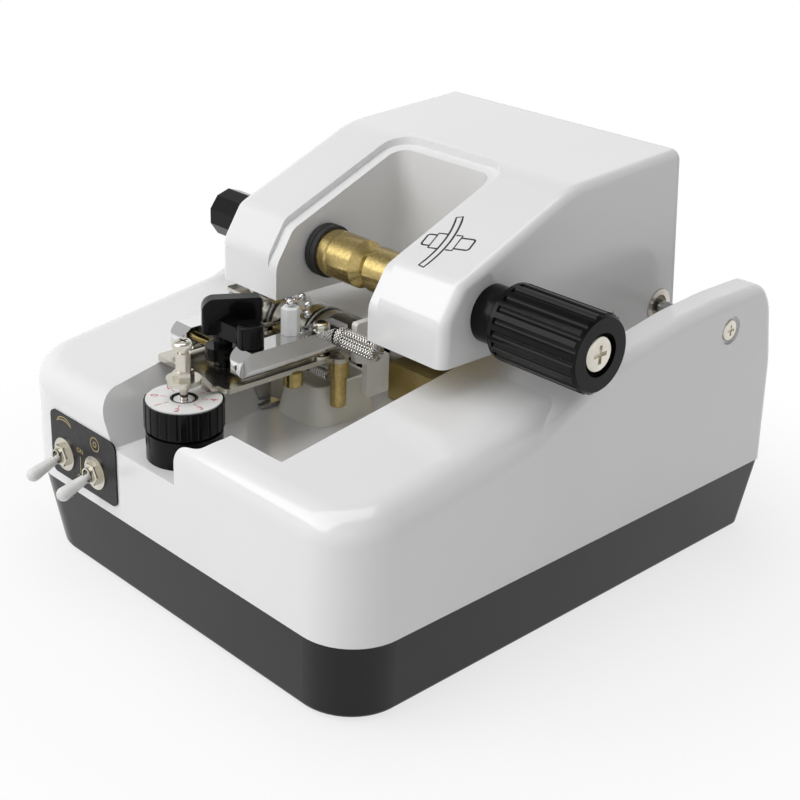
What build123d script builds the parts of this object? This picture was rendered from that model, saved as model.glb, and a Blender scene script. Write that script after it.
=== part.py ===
from build123d import *
from math import atan, cos, degrees, radians, tan
import os

# A lens groover: a desk machine that cuts a groove round the edge of a spectacle lens.
# X runs to the right as seen from the switches, Y to the rear, Z up from the desk.
# All lengths are millimetres. Names that end in _x, _y or _z are places, measured from
# the middle of the casing and from the desk.

# Allowances
overrun = 5.0
run_fit = 0.1
seat_gap = 0.3
sheet = 2.0

# Shares of a screw's or nut's own size
slot_width_share = 0.45
slot_reach_share = 0.5
slot_depth_share = 0.6
head_round_share = 0.7
nut_chamfer_share = 0.05

# Casing
casing_width = 197.4
casing_length = 240.0
half_width = casing_width / 2
front_y = -casing_length / 2
rear_y = casing_length / 2
foot_height = 1.5
seam_z = 34.7
seam_gap = 0.3
wall = 2.8
front_corner_radius = 22.3
land_edge_radius = 11.0
ear_edge_radius = 5.0
ear_thickness = 12.7
land_front_z = 81.7
crease_y = -14.6
crease_z = 97.3
ramp_foot_y = -9.0
ramp_foot_z = 99.7
ramp_head_y = 5.0
ramp_head_z = 106.5
shoulder_y = 50.0
shoulder_z = 114.0
ear_crown_y = 76.0
ear_top_z = 116.0
ear_rear_y = 104.5
lean_top_y = 110.8
lean_top_z = 108.0
lean_foot_y = 116.9
lean_foot_z = 81.0
profile_radii = (14.0, 50.0, 80.0, 80.0, 9.0, 20.0, 60.0)
side_inner_x = half_width - ear_thickness

# Lower tub
tub_side_taper = 5.1
tub_rear_taper = 2.5
tub_step = 0.4
tub_edge_radius = 2.0
foot_radius = 8.0
foot_inset = 24.0
boss_radius = 4.6
boss_inset = 38.0
screw_bore = 1.7
screw_shank = 1.5
screw_head_radius = 3.5
screw_head_height = 2.2
screw_recess_radius = 4.2
screw_recess_depth = 3.2
tub_screw_reach = 8.0

# Basin and head well in the casing
floor_z = 58.5
basin_right_x = 47.0
basin_front_y = front_y + 15.0
basin_rear_y = 6.0
basin_top_z = 120.0
basin_corner_x = 19.5
slope_foot_front_x = -30.0
slope_foot_rear_x = -37.0
slope_top_front_x = -63.0
slope_top_rear_x = -103.0
slope_bend_y = -60.0
slope_bend_foot_x = -32.0
slope_bend_top_x = -72.0
slope_rear_y = -28.0
well_front_y = -6.0
well_floor_z = 85.5
notch_floor_z = 63.5
notch_front_x = 5.5
notch_hip_x = 16.5
notch_hip_y = front_y + 4.5
notch_rear_y = front_y + 34.0
ledge_right_x = 4.0
notch_corner_x = 19.0
rear_gate_left_x = -38.0
rear_gate_right_x = 31.0
rear_gate_foot_z = 60.5
rear_gate_top_z = 83.9

# Head pivot
pivot_y = 82.0
pivot_z = 101.9
pivot_radius = 2.75
pivot_bore = 2.85
pivot_end_x = half_width - 5.7
ear_boss_radius = 8.0
ear_recess_radius = 5.9
ear_recess_depth = 1.4
ear_screw_radius = 4.4
ear_screw_height = 1.25
collar_radius = 7.1
collar_proud = 0.4
collar_length = 9.0
collar_well_radius = 4.7
collar_well_depth = 2.2

# Head shell
head_half = 63.0
collar_face_x = head_half + collar_proud
head_front_y = -45.0
head_bottom_z = 106.5
head_front_top_z = 123.5
head_nose_y = -36.5
head_nose_z = 137.2
head_bend_y = 22.0
head_bend_z = 162.0
head_top_y = 84.5
head_top_z = 166.3
head_rear_y = 92.5
head_low_z = 95.5
head_low_y = 60.0
head_step_y = 52.0
rear_lean = (head_rear_y - head_top_y) / (head_top_z - head_low_z)
head_radii = (10.0, 7.0, 40.0, 2.0)
head_edge_radius = 4.0
head_wall = 2.6
recess_left_x = -28.0
recess_right_x = 24.5
recess_rear_y = 20.0
recess_corner_radius = 7.0
rim_width = 5.0
rim_depth = 3.0
cover_thickness = 1.2
cover_screw_x = head_half - 3.4
cover_screw_heights = (147.0, 126.0)
cover_screw_radius = 2.5
cover_screw_height = 1.4
cover_screw_reach = 7.0
cover_boss = 7.0
cover_boss_depth = 9.0
cover_boss_foot_z = 120.5
cover_boss_top_z = 152.0
frame_plate_z = 107.0
cheek_front_y = 58.0
cheek_rear_y = 90.0
cheek_top_z = 120.0
cheek_foot_z = 96.0

# Lens spindle, lens clamp and knobs, all on one axis
chuck_y = -20.5
chuck_z = 123.1
lens_plane_x = -24.85
pad_radius = 10.7
pad_thickness = 2.6
spindle_radius = 4.0
spindle_disc_radius = 8.0
spindle_disc_depth = 2.6
left_knob_right_x = -head_half - 1.2
left_knob_left_x = left_knob_right_x - 25.8
spindle_left_x = left_knob_left_x + 3.0
bush_flange_radius = 12.0
bush_flange = 2.6
bush_sleeve_radius = 6.5
bush_sleeve_left_x = -44.0
outer_bush_radius = 6.5
outer_bush_left_x = -head_half - 0.6
outer_bush_right_x = outer_bush_left_x + 7.6
pulley_left_x = -52.0
pulley_right_x = -47.0
lens_pulley_radius = 8.0
lens_motor_pulley_radius = 6.0
pulley_flange = 0.6
pulley_lip = 1.2
belt_thickness = 1.2
belt_margin = 0.5
left_knob_radius = 10.2
left_knob_sides = 10
brass_radius = 9.6
brass_groove_x = -17.0
brass_groove = 0.8
brass_front_end_x = -3.5
brass_waist_radius = 6.2
brass_waist_x = -0.5
brass_rear_x = 4.0
brass_rear_radius = 9.0
brass_end_x = 30.0
brass_bore_x = -12.0
neck_radius = 11.0
neck_end_x = head_half + 9.5
clamp_knob_x = neck_end_x + 0.6
clamp_knob_end_x = clamp_knob_x + 40.5
clamp_rod_end_x = clamp_knob_end_x - 3.6
bush_spigot_radius = 6.9
bush_spigot_x = 47.0
clamp_knob_radius = 14.6
clamp_knob_flutes = 20
flute_radius = 1.6
flute_depth = 0.7
knob_shoulder = 3.0
knob_edge = 1.2
knob_recess_radius = 8.0
knob_recess_depth = 2.6
knob_screw_radius = 6.9
knob_screw_height = 2.3
arm_hole_radius = 9.5

# Lens motor in the head
lens_motor_y = 45.0
lens_motor_z = 127.6
lens_motor_radius = 18.0
lens_motor_left_x = -43.0
lens_motor_right_x = -14.0
lens_motor_boss_radius = 6.0
lens_motor_boss = 2.0
motor_shaft_radius = 2.0

# Depth dial
dial_x = -12.0
dial_y = front_y + 18.0
sleeve_radius = 14.4
sleeve_top_z = 74.4
sleeve_bore = 4.8
sleeve_window = 3.2
sleeve_window_depth = 1.6
sleeve_window_turn = 62.0
dial_radius = 14.9
dial_foot_z = 74.7
dial_groove = 1.2
dial_groove_radius = 13.6
dial_top_z = 86.1
dial_flutes = 24
dial_flute_radius = 1.2
dial_flute_depth = 0.35
dial_face_radius = 14.1
dial_face_thickness = 0.5
dial_ring_radius = 5.2
lift_radius = 4.3
lift_stem_radius = 2.2
lift_foot_z = 66.0
lift_top_z = 86.2
lift_head = 3.4

# Mechanism plate and its depth screw
plate_left_x = -46.2
plate_right_x = -2.0
plate_front_y = -89.8
plate_rear_y = -36.0
plate_top_z = 89.5
plate_foot_z = plate_top_z - sheet
plate_corner_radius = 2.0
plate_ear_radius = 3.9
tongue_half = 4.5
tongue_rise = 5.2
tongue_bend_y = plate_front_y - 2.4
tongue_crest_y = tongue_bend_y - 4.4
ring_radius = 6.5
screw_tip_radius = 1.5
screw_tip_z = 86.3
screw_thread_z = 90.5
depth_screw_radius = 2.0
depth_screw_head_z = 106.7
depth_head_radius = 4.0
depth_head_height = 2.6
nut_flats = 7.0
nut_height = 3.0
spacer_radius = 2.9
spacer_top_z = 104.6

# Plate pivot on the casing floor
plate_pivot_y = -44.0
plate_pivot_z = 84.0
plate_pivot_radius = 1.5
lug_radius = 3.2
lug_thickness = 2.0
lug_left_x = plate_left_x
post_left_x = lug_left_x + lug_thickness + seat_gap
post_right_x = -36.0
post_half = 5.0
post_eye_radius = 3.1
post_foot_x = -32.5

# Guide bars
right_bar_left_x = -10.3
right_bar_right_x = -1.0
right_bar_front_y = -84.0
right_bar_rear_y = -31.5
left_bar_left_x = -45.0
left_bar_right_x = -35.7
left_bar_front_y = -85.5
left_bar_rear_y = -33.0
bar_foot_z = 90.4
bar_top_z = 101.5
bar_edge_radius = 4.4
bar_nose_radius = 4.0
bar_nose_run = 5.0
bar_nose_drop = 3.8
bar_nose_bend = 2.0
bar_keel_radius = 5.0
bar_hole = 1.2
bar_screw_y = -41.0
right_bar_screw_x = -5.6
left_bar_screw_x = -40.4
bar_screw_shank = 1.9
bar_screw_head = 3.4
bar_screw_head_height = 2.0
bar_bush_radius = 3.8
hole_pitch = 4.0
pin_x = -7.6
pin_y = -55.0
pin_width = 6.4
pin_foot_z = bar_top_z + run_fit
pin_top_z = 112.5
pin_tip_radius = 1.1
pin_tip_z = 95.0
bead_radius = 1.5
link_radius = 0.45
bead_count = 16
chain_places = (
    (-47.0, -41.0, 104.5),
    (-46.4, -36.0, 104.3),
    (-41.0, -33.0, 103.6),
    (-34.0, -31.4, 103.0),
    (-28.5, -31.0, 104.0),
    (-17.2, -37.5, 106.0),
    (-6.8, -47.5, 108.6),
    (-2.4, -52.6, 112.6),
    (-4.2, -54.8, 116.0),
)
anchor_left_x = -61.0
anchor_half = 3.0
anchor_thickness = 1.2

# Knurled screw through the right bar
knurl_y = -35.2
knurl_z = 97.5
knurl_radius = 3.75
knurl_end_x = 20.5
knurl_collar_radius = 4.1
knurl_collar = 2.4
knurl_neck_radius = 1.6
knurl_tip_x = -13.0
knurl_hole_x = 16.5
knurl_hole = 1.2
knurl_grooves = 16
knurl_groove_depth = 0.35

# Wing lever between the bars
lever_x = (left_bar_right_x + right_bar_left_x) / 2
lever_y = -75.2
lever_stem_radius = 3.6
lever_pin_radius = 1.5
cam_foot_z = 92.6
cam_top_z = 97.6
cam_short = 5.9
cam_long = 7.4
stud_radius = 2.0
stud_z = 95.1
blade_foot_z = 102.4
blade_rear_foot_z = 105.6
blade_top_z = 116.7
blade_front = 8.1
blade_step = 3.0
blade_rear = 14.9
blade_half = 2.8
blade_turn = 59.2
blade_nose_radius = 5.0
blade_end_radius = 1.7
lobe_radius = 5.2
lobe_reach = 15.4
lobe_turn = 2.6
lobe_foot_z = 101.8
lobe_top_z = 110.3
lobe_arm_half = 3.4

# Small pieces under and behind the plate
post_x = -0.8
post_y = -35.8
brass_ring_radius = 4.0
brass_ring_foot_z = 81.5
brass_post_radius = 3.25
brass_post_foot_z = 68.5
stub_x = -4.5
stub_y = -56.0
stub_radius = 3.85
nylon_left_x = 0.0
nylon_right_x = 3.0
nylon_front_y = -30.2
nylon_mid_y = -20.0
nylon_rear_y = -12.0
nylon_low_front_y = -24.0
nylon_top_z = 102.5
nylon_waist_z = 86.0
nylon_foot_z = 69.5
nylon_radii = (1.5, 2.0, 0, 1.0, 1.0, 1.5, 0, 1.5)
spring_y = -36.6
spring_z = 80.2
spring_left_x = -15.6
spring_right_x = post_x - brass_ring_radius
spring_coil_radius = 2.1
spring_wire = 0.35
spring_turns = 8
hook_lug = 1.4
hook_half = 3.0
rest_outer_left_x = -31.0
rest_gap_left_x = -26.4
rest_gap_right_x = -22.2
rest_outer_right_x = -17.8
rest_radius = 11.2
rest_foot_z = 83.2
rest_hole = 4.2

# Grooving wheel
wheel_x = -24.3
wheel_y = -22.0
wheel_z = 87.5
wheel_radius = 12.0
wheel_thickness = 1.2
wheel_hub_radius = 3.6
wheel_hub = 3.0
wheel_spindle_radius = 2.5
wheel_spindle_right_x = -20.4
wheel_pulley_left_x = -36.4
wheel_pulley_right_x = -31.6
wheel_pulley_radius = 5.6
cartridge_left_x = -56.0
cartridge_right_x = -37.4
cartridge_radius = 7.0
cartridge_foot_half = 5.0
cup_left_x = -33.0
cup_right_x = -3.0
cup_front_y = -44.0
cup_rear_y = -8.5
cup_top_z = 74.0
cup_draft = 3.6
cup_wall = 1.6
cup_radius = 9.0

# Wheel motor and transformer in the base
motor_y = 36.0
motor_z = 60.0
motor_radius = 20.0
motor_left_x = -28.0
motor_right_x = 22.0
motor_pulley_radius = 9.0
frame_left_x = -9.0
frame_right_x = 30.0
frame_lip_y = 0.0
frame_lip_foot_z = 59.0
frame_shelf_z = 75.0
frame_web_y = 13.6
frame_foot_y = 52.0
coil_x = 60.0
coil_y = 42.0
core_width = 46.0
core_depth = 26.0
core_height = 40.0
core_limb = 8.0
coil_depth = 38.0

# Rear fittings
inlet_x = -52.0
inlet_z = 56.0
inlet_flange_width = 50.0
inlet_flange_height = 24.0
inlet_flange = 2.2
inlet_body_width = 27.0
inlet_body_height = 19.5
inlet_body_depth = 21.0
inlet_socket_depth = 18.0
inlet_pin_length = 13.0
inlet_lip = 2.0
inlet_pin_width = 4.0
inlet_pin_height = 2.0
inlet_pin_pitch = 7.0
fuse_x = -8.0
fuse_cap_radius = 6.5
fuse_cap = 7.0
fuse_body_radius = 5.6
fuse_body = 22.0

# Switches
switch_plate_left_x = -74.5
switch_plate_right_x = -30.5
switch_plate_foot_z = 39.2
switch_plate_top_z = 66.0
switch_plate_thickness = 0.7
switch_plate_radius = 3.0
lens_switch_x = -65.0
switch_pitch = 21.0
switch_z = 49.3
switch_places = ((lens_switch_x, switch_z), (lens_switch_x + switch_pitch, switch_z))
bushing_radius = 3.0
bushing_reach = 5.0
bushing_front_y = front_y - bushing_reach
bushing_bore = 2.4
washer_radius = 6.75
washer_thickness = 0.7
switch_nut_flats = 8.0
switch_nut_height = 2.4
switch_body_width = 12.0
switch_body_height = 15.0
switch_body_depth = 16.0
toggle_pivot_y = front_y - bushing_reach / 2
toggle_tilt = 19.0
toggle_ball_radius = 1.9
toggle_pin_radius = 0.8
toggle_pin_half = 2.2
toggle_neck_radius = 1.2
toggle_sleeve_start = 3.7
toggle_sleeve_length = 12.6
toggle_tip_radius = 2.75
toggle_root_radius = 1.9

# The origin lies under the middle of the whole machine, knobs and switches included
toggle_reach = toggle_sleeve_start + toggle_sleeve_length
toggle_end = toggle_reach - toggle_tip_radius
toggle_front_y = toggle_pivot_y - toggle_end * cos(radians(toggle_tilt)) - toggle_tip_radius
machine_mid_x = (clamp_knob_end_x - half_width) / 2


def box(x0, x1, y0, y1, z0, z1):
    """A block between two corners."""
    middle = Pos((x0 + x1) / 2, (y0 + y1) / 2, (z0 + z1) / 2)
    return middle * Box(x1 - x0, y1 - y0, z1 - z0)


def rod_x(y, z, x0, x1, radius):
    """A round bar along X."""
    return Pos((x0 + x1) / 2, y, z) * Rot(0, 90, 0) * Cylinder(radius, x1 - x0)


def rod_y(x, z, y0, y1, radius):
    """A round bar along Y."""
    return Pos(x, (y0 + y1) / 2, z) * Rot(90, 0, 0) * Cylinder(radius, y1 - y0)


def rod_z(x, y, z0, z1, radius):
    """An upright round bar."""
    return Pos(x, y, (z0 + z1) / 2) * Cylinder(radius, z1 - z0)


def rounded_outline(points, radii):
    """A closed face of straight runs, with an arc of the given radius at each corner."""
    corners = [Vector(*point) for point in points]
    runs = Curve()
    starts = []
    ends = []
    for i, corner in enumerate(corners):
        back = (corners[i - 1] - corner).normalized()
        ahead = (corners[(i + 1) % len(corners)] - corner).normalized()
        half_turn = radians(180 - back.get_angle(ahead)) / 2
        reach = radii[i] * tan(half_turn)
        if radii[i]:
            inward = (back + ahead).normalized()
            centre = corner + inward * (radii[i] / cos(half_turn))
            middle = centre - inward * radii[i]
            runs += ThreePointArc(corner + back * reach, middle, corner + ahead * reach)
        starts.append(corner + ahead * reach)
        ends.append(corner + back * reach)
    for i, start in enumerate(starts):
        runs += Line(start, ends[(i + 1) % len(ends)])
    return make_face(runs)


def slab_x(face, x0, x1):
    """A side outline, drawn as (y, z), made solid between two places on X."""
    return Pos((x0 + x1) / 2, 0, 0) * extrude(Plane.YZ * face, (x1 - x0) / 2, both=True)


def slab_z(face, z0, z1):
    """A plan outline, drawn as (x, y), made solid between two heights."""
    return Pos(0, 0, z0) * extrude(face, z1 - z0, dir=(0, 0, 1))


def cross_slot(radius, depth):
    """The tool for a cross slot, its mouth on the XY plane and its point downwards."""
    arm = Box(radius * 2, radius * slot_width_share, depth * 2)
    return arm + Rot(0, 0, 90) * arm


def pan_screw(head_radius, head_height, shank_radius, length):
    """A pan-head screw pointing down, its head seated on the XY plane."""
    head = Pos(0, 0, head_height / 2) * Cylinder(head_radius, head_height)
    head = fillet(head.edges().sort_by(Axis.Z)[-1], head_height * head_round_share)
    slot = cross_slot(head_radius * slot_reach_share, head_height * slot_depth_share)
    slot = Pos(0, 0, head_height) * slot
    shank = Pos(0, 0, -length / 2) * Cylinder(shank_radius, length)
    return head - slot + shank


def belt(plane_x0, plane_x1, first, first_radius, second, second_radius):
    """A flat belt round two pulleys whose axes run along X."""
    y0, z0 = first
    y1, z1 = second
    outer = make_hull(
        (Pos(y0, z0) * Circle(first_radius + belt_thickness)).edges()
        + (Pos(y1, z1) * Circle(second_radius + belt_thickness)).edges()
    )
    inner = make_hull(
        (Pos(y0, z0) * Circle(first_radius)).edges() + (Pos(y1, z1) * Circle(second_radius)).edges()
    )
    return slab_x(outer - inner, plane_x0, plane_x1)


# Casing


def land_z(y):
    """Height of the sloping front deck."""
    rise = (crease_z - land_front_z) / (crease_y - front_y)
    return land_front_z + (y - front_y) * rise


def casing_form(inset):
    """The casing's outer form, or the same form drawn in by a wall."""
    points = [
        (front_y + inset, seam_z - (overrun if inset else 0)),
        (front_y + inset, land_z(front_y) - inset),
        (crease_y, crease_z - inset),
        (ramp_foot_y, ramp_foot_z - inset),
        (ramp_head_y, ramp_head_z - inset),
        (shoulder_y, shoulder_z - inset),
        (ear_crown_y, ear_top_z - inset),
        (ear_rear_y - inset / 2, ear_top_z - inset),
        (lean_top_y - inset, lean_top_z - inset / 2),
        (lean_foot_y - inset, lean_foot_z),
        (rear_y - inset, seam_z - (overrun if inset else 0)),
    ]
    radii = (0, 0, 0) + profile_radii + (0,)
    form = slab_x(rounded_outline(points, radii), inset - half_width, half_width - inset)
    upright = [
        edge
        for edge in form.edges().filter_by(Axis.Z)
        if edge.center().Y < front_y + inset + run_fit
    ]
    form = fillet(upright, front_corner_radius - inset)
    deck = [
        edge
        for edge in form.edges()
        if edge.center().Y < crease_y - overrun / 5
        and edge.center().Z > land_front_z - overrun
        and not (abs(edge.center().X) < run_fit and edge.center().Y > front_y + front_corner_radius)
    ]
    form = fillet(deck, land_edge_radius - inset)
    flank = [
        edge
        for edge in form.edges()
        if abs(abs(edge.center().X) - half_width + inset) < run_fit / 5
        and edge.center().Y > crease_y
        and edge.center().Z > seam_z + run_fit
    ]
    return fillet(flank, ear_edge_radius - inset)


def basin_section(z, grow, bend_x, front_x, rear_x):
    """One level of the basin, with its soft left side drawn as a curve."""
    left = Spline(
        (rear_x - grow, basin_rear_y + grow),
        (rear_x - grow, slope_rear_y),
        (bend_x - grow, slope_bend_y),
        (front_x - grow, basin_front_y),
        (front_x - grow, front_y - overrun),
    )
    right_x = basin_right_x + grow
    rest = Polyline(
        (front_x - grow, front_y - overrun),
        (right_x, front_y - overrun),
        (right_x, basin_rear_y + grow),
        (rear_x - grow, basin_rear_y + grow),
    )
    return Pos(0, 0, z) * make_face(left + rest)


def basin_space(grow):
    """The hollow of the basin, or the same hollow with its walls round it."""
    low = basin_section(
        floor_z - grow, grow, slope_bend_foot_x, slope_foot_front_x, slope_foot_rear_x
    )
    high = basin_section(basin_top_z, grow, slope_bend_top_x, slope_top_front_x, slope_top_rear_x)
    space = loft([low, high], ruled=True)
    return space - front_block(grow)


def front_block(grow):
    """What stays standing at the front of the basin: the deck, and the ledge under the dial."""
    edge = Polyline(
        (basin_right_x + grow + overrun, basin_front_y - grow),
        (basin_corner_x + grow, basin_front_y - grow),
    )
    hip = Spline(
        (basin_corner_x + grow, basin_front_y - grow),
        (notch_corner_x + grow, (basin_front_y + notch_hip_y) / 2),
        (notch_hip_x + grow, notch_hip_y - grow),
        (notch_front_x + grow + sheet, front_y + sheet - grow),
        (notch_front_x + grow, front_y - overrun),
    )
    back = Polyline(
        (notch_front_x + grow, front_y - overrun),
        (notch_front_x + grow, front_y - 2 * overrun),
        (basin_right_x + grow + overrun, front_y - 2 * overrun),
        (basin_right_x + grow + overrun, basin_front_y - grow),
    )
    deck = slab_z(make_face(edge + hip + back), floor_z - overrun, basin_top_z + overrun)
    shelf_z = notch_floor_z - grow
    front = box(
        -half_width,
        basin_corner_x + grow + overrun,
        front_y - 2 * overrun,
        basin_front_y - grow,
        floor_z - overrun,
        shelf_z,
    )
    ledge = box(
        -half_width,
        ledge_right_x - grow,
        basin_front_y - grow - overrun,
        notch_rear_y - grow,
        floor_z - overrun,
        shelf_z,
    )
    return deck + front + ledge


def upper_casing():
    form = casing_form(0)
    hollow = casing_form(wall)
    well = box(
        -side_inner_x,
        side_inner_x,
        well_front_y,
        rear_y + overrun,
        well_floor_z,
        ear_top_z + overrun,
    )
    well_walls = box(
        -side_inner_x - wall,
        side_inner_x + wall,
        well_front_y - wall,
        rear_y + overrun,
        well_floor_z - wall,
        ear_top_z + overrun,
    )
    hollow = hollow - basin_space(wall) - well_walls
    for side in (-1, 1):
        inner_x = side * side_inner_x
        outer_x = side * half_width
        hollow -= rod_x(
            pivot_y, pivot_z, min(inner_x, outer_x), max(inner_x, outer_x), ear_boss_radius
        )
    casing = form - hollow - basin_space(0) - well
    casing -= box(
        rear_gate_left_x,
        rear_gate_right_x,
        basin_rear_y - overrun,
        basin_rear_y + wall + overrun,
        rear_gate_foot_z,
        rear_gate_top_z,
    )
    casing -= rod_x(pivot_y, pivot_z, -pivot_end_x - run_fit, pivot_end_x + run_fit, pivot_bore)
    casing -= rod_x(pivot_y, pivot_z, -half_width, half_width, screw_bore + seat_gap)
    for side in (-1, 1):
        recess = Pos(side * half_width, pivot_y, pivot_z) * Rot(0, 90, 0)
        casing -= recess * Cylinder(ear_recess_radius, ear_recess_depth * 2)
    for x, z in switch_places:
        casing -= rod_y(x, z, front_y - overrun, front_y + wall + overrun, bushing_radius + run_fit)
    casing -= box(
        inlet_x - inlet_body_width / 2 - run_fit,
        inlet_x + inlet_body_width / 2 + run_fit,
        rear_y - overrun * 2,
        rear_y + overrun,
        inlet_z - inlet_body_height / 2 - run_fit,
        inlet_z + inlet_body_height / 2 + run_fit,
    )
    casing -= rod_y(
        fuse_x, inlet_z, rear_y - overrun * 2, rear_y + overrun, fuse_body_radius + run_fit
    )
    for x, y in boss_places():
        top_z = land_z(y) - wall if y < 0 else well_floor_z - wall
        post = rod_z(x, y, seam_z, top_z, boss_radius)
        bore_top = seam_z + tub_screw_reach + seat_gap
        casing += post - rod_z(x, y, seam_z - overrun, bore_top, screw_shank + run_fit)
    return casing


def boss_places():
    """The four places where a screw joins the tub to the casing."""
    x = half_width - boss_inset / 2
    y = rear_y - boss_inset
    return [(-x, -y), (x, -y), (-x, y), (x, y)]


def tub_plan(side_inset, rear_inset, z, wall_inset):
    """A level of the tub, with large front corners."""
    left = -half_width + side_inset + wall_inset
    front = front_y + side_inset + wall_inset
    back = rear_y - rear_inset - wall_inset
    radius = front_corner_radius - wall_inset
    small = ear_edge_radius - wall_inset / 2
    points = [(left, front), (-left, front), (-left, back), (left, back)]
    return Pos(0, 0, z) * rounded_outline(points, (radius, radius, small, small))


def base_tub():
    top_z = seam_z - seam_gap
    outer = loft(
        [
            tub_plan(tub_side_taper, tub_rear_taper, foot_height, 0),
            tub_plan(tub_step, tub_step, top_z, 0),
        ],
        ruled=True,
    )
    outer = fillet(outer.faces().sort_by(Axis.Z)[0].edges(), tub_edge_radius)
    inner = loft(
        [
            tub_plan(tub_side_taper, tub_rear_taper, foot_height + wall, wall),
            tub_plan(tub_step, tub_step, top_z + run_fit, wall),
        ],
        ruled=True,
    )
    tub = outer - inner
    for x, y in boss_places():
        tub += rod_z(x, y, foot_height + wall / 2, top_z, boss_radius)
        tub -= rod_z(x, y, 0, top_z + overrun, screw_bore)
        tub -= rod_z(x, y, 0, foot_height + screw_recess_depth, screw_recess_radius)
    return tub


def rubber_feet():
    x = half_width - foot_inset
    y = rear_y - foot_inset
    feet = Part()
    for place in ((-x, -y), (x, -y), (-x, y), (x, y)):
        foot = rod_z(place[0], place[1], 0, foot_height, foot_radius)
        feet += fillet(foot.edges().sort_by(Axis.Z)[0], foot_height / 3)
    return feet


def tub_screws():
    head_z = foot_height + screw_recess_depth
    length = seam_z + tub_screw_reach - head_z
    screw = Rot(180, 0, 0) * pan_screw(screw_head_radius, screw_head_height, screw_shank, length)
    return [Pos(x, y, head_z) * screw for x, y in boss_places()]


# Inside the base


def chassis_frame():
    """A bent steel sheet: a lip in the basin, a shelf through the gate, a web and a foot."""
    lip_back_y = frame_lip_y + sheet
    lip = box(frame_left_x, frame_right_x, frame_lip_y, lip_back_y, frame_lip_foot_z, frame_shelf_z)
    lip_web_y = frame_web_y + sheet
    shelf = box(
        frame_left_x, frame_right_x, frame_lip_y, lip_web_y, frame_shelf_z - sheet, frame_shelf_z
    )
    tub_floor_z = foot_height + wall
    web = box(frame_left_x, frame_right_x, frame_web_y, lip_web_y, tub_floor_z, frame_shelf_z)
    foot = box(
        frame_left_x, frame_right_x, frame_web_y, frame_foot_y, tub_floor_z, tub_floor_z + sheet
    )
    return lip + shelf + web + foot


def wheel_motor():
    can = rod_x(motor_y, motor_z, motor_left_x, motor_right_x, motor_radius)
    can = chamfer(can.edges().filter_by(GeomType.CIRCLE), sheet / 2)
    boss = rod_x(motor_y, motor_z, motor_left_x - sheet, motor_left_x, motor_radius / 3)
    return can + boss


def wheel_motor_pulley():
    return flanged_pulley(
        motor_y,
        motor_z,
        wheel_pulley_left_x,
        wheel_pulley_right_x,
        motor_pulley_radius,
        wheel_pulley_left_x - sheet / 2,
        motor_left_x - sheet - run_fit,
        motor_shaft_radius,
    )


def flanged_pulley(y, z, x0, x1, radius, shaft_x0, shaft_x1, shaft_radius):
    """A belt pulley with two thin flanges on its shaft."""
    pulley = rod_x(y, z, x0, x1, radius)
    pulley += rod_x(y, z, x0, x0 + pulley_flange, radius + pulley_lip)
    pulley += rod_x(y, z, x1 - pulley_flange, x1, radius + pulley_lip)
    return pulley + rod_x(y, z, shaft_x0, shaft_x1, shaft_radius)


def drive_belt():
    return belt(
        wheel_pulley_left_x + pulley_flange + belt_margin,
        wheel_pulley_right_x - pulley_flange - belt_margin,
        (wheel_y, wheel_z),
        wheel_pulley_radius + seat_gap,
        (motor_y, motor_z),
        motor_pulley_radius + seat_gap,
    )


def transformer():
    floor = foot_height + wall
    core = box(
        coil_x - core_width / 2,
        coil_x + core_width / 2,
        coil_y - core_depth / 2,
        coil_y + core_depth / 2,
        floor,
        floor + core_height,
    )
    coil = box(
        coil_x - core_width / 2 + core_limb,
        coil_x + core_width / 2 - core_limb,
        coil_y - coil_depth / 2,
        coil_y + coil_depth / 2,
        floor + core_limb,
        floor + core_height - core_limb,
    )
    return core + fillet(coil.edges().filter_by(Axis.Z), core_limb / 2)


def power_inlet():
    flange_y = rear_y
    flange = box(
        inlet_x - inlet_flange_width / 2,
        inlet_x + inlet_flange_width / 2,
        flange_y,
        flange_y + inlet_flange,
        inlet_z - inlet_flange_height / 2,
        inlet_z + inlet_flange_height / 2,
    )
    flange = fillet(flange.edges().filter_by(Axis.Y), inlet_flange_height / 3)
    shell = box(
        inlet_x - inlet_body_width / 2,
        inlet_x + inlet_body_width / 2,
        flange_y - inlet_body_depth,
        flange_y + run_fit,
        inlet_z - inlet_body_height / 2,
        inlet_z + inlet_body_height / 2,
    )
    socket = box(
        inlet_x - inlet_body_width / 2 + inlet_lip,
        inlet_x + inlet_body_width / 2 - inlet_lip,
        flange_y + inlet_flange - inlet_socket_depth,
        flange_y + inlet_flange + overrun,
        inlet_z - inlet_body_height / 2 + inlet_lip,
        inlet_z + inlet_body_height / 2 - inlet_lip,
    )
    inlet = flange + shell - socket
    for step in (-1, 0, 1):
        pin_z = inlet_z + (inlet_pin_height if step == 0 else -inlet_pin_height)
        pin_x0 = inlet_x + step * inlet_pin_pitch
        inlet += box(
            pin_x0 - inlet_pin_height / 2,
            pin_x0 + inlet_pin_height / 2,
            flange_y + inlet_flange - inlet_socket_depth - run_fit,
            flange_y + inlet_flange - inlet_socket_depth + inlet_pin_length,
            pin_z - inlet_pin_width / 2,
            pin_z + inlet_pin_width / 2,
        )
    return inlet


def fuse_holder():
    body = rod_y(fuse_x, inlet_z, rear_y - fuse_body, rear_y, fuse_body_radius)
    cap = rod_y(fuse_x, inlet_z, rear_y, rear_y + fuse_cap, fuse_cap_radius)
    cap = chamfer(cap.edges().sort_by(Axis.Y)[-1], fuse_cap / 5)
    slot = box(
        fuse_x - fuse_cap_radius,
        fuse_x + fuse_cap_radius,
        rear_y + fuse_cap - inlet_pin_height / 2,
        rear_y + fuse_cap + overrun,
        inlet_z - inlet_pin_height / 2,
        inlet_z + inlet_pin_height / 2,
    )
    return body + cap - slot


# Switches


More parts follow.
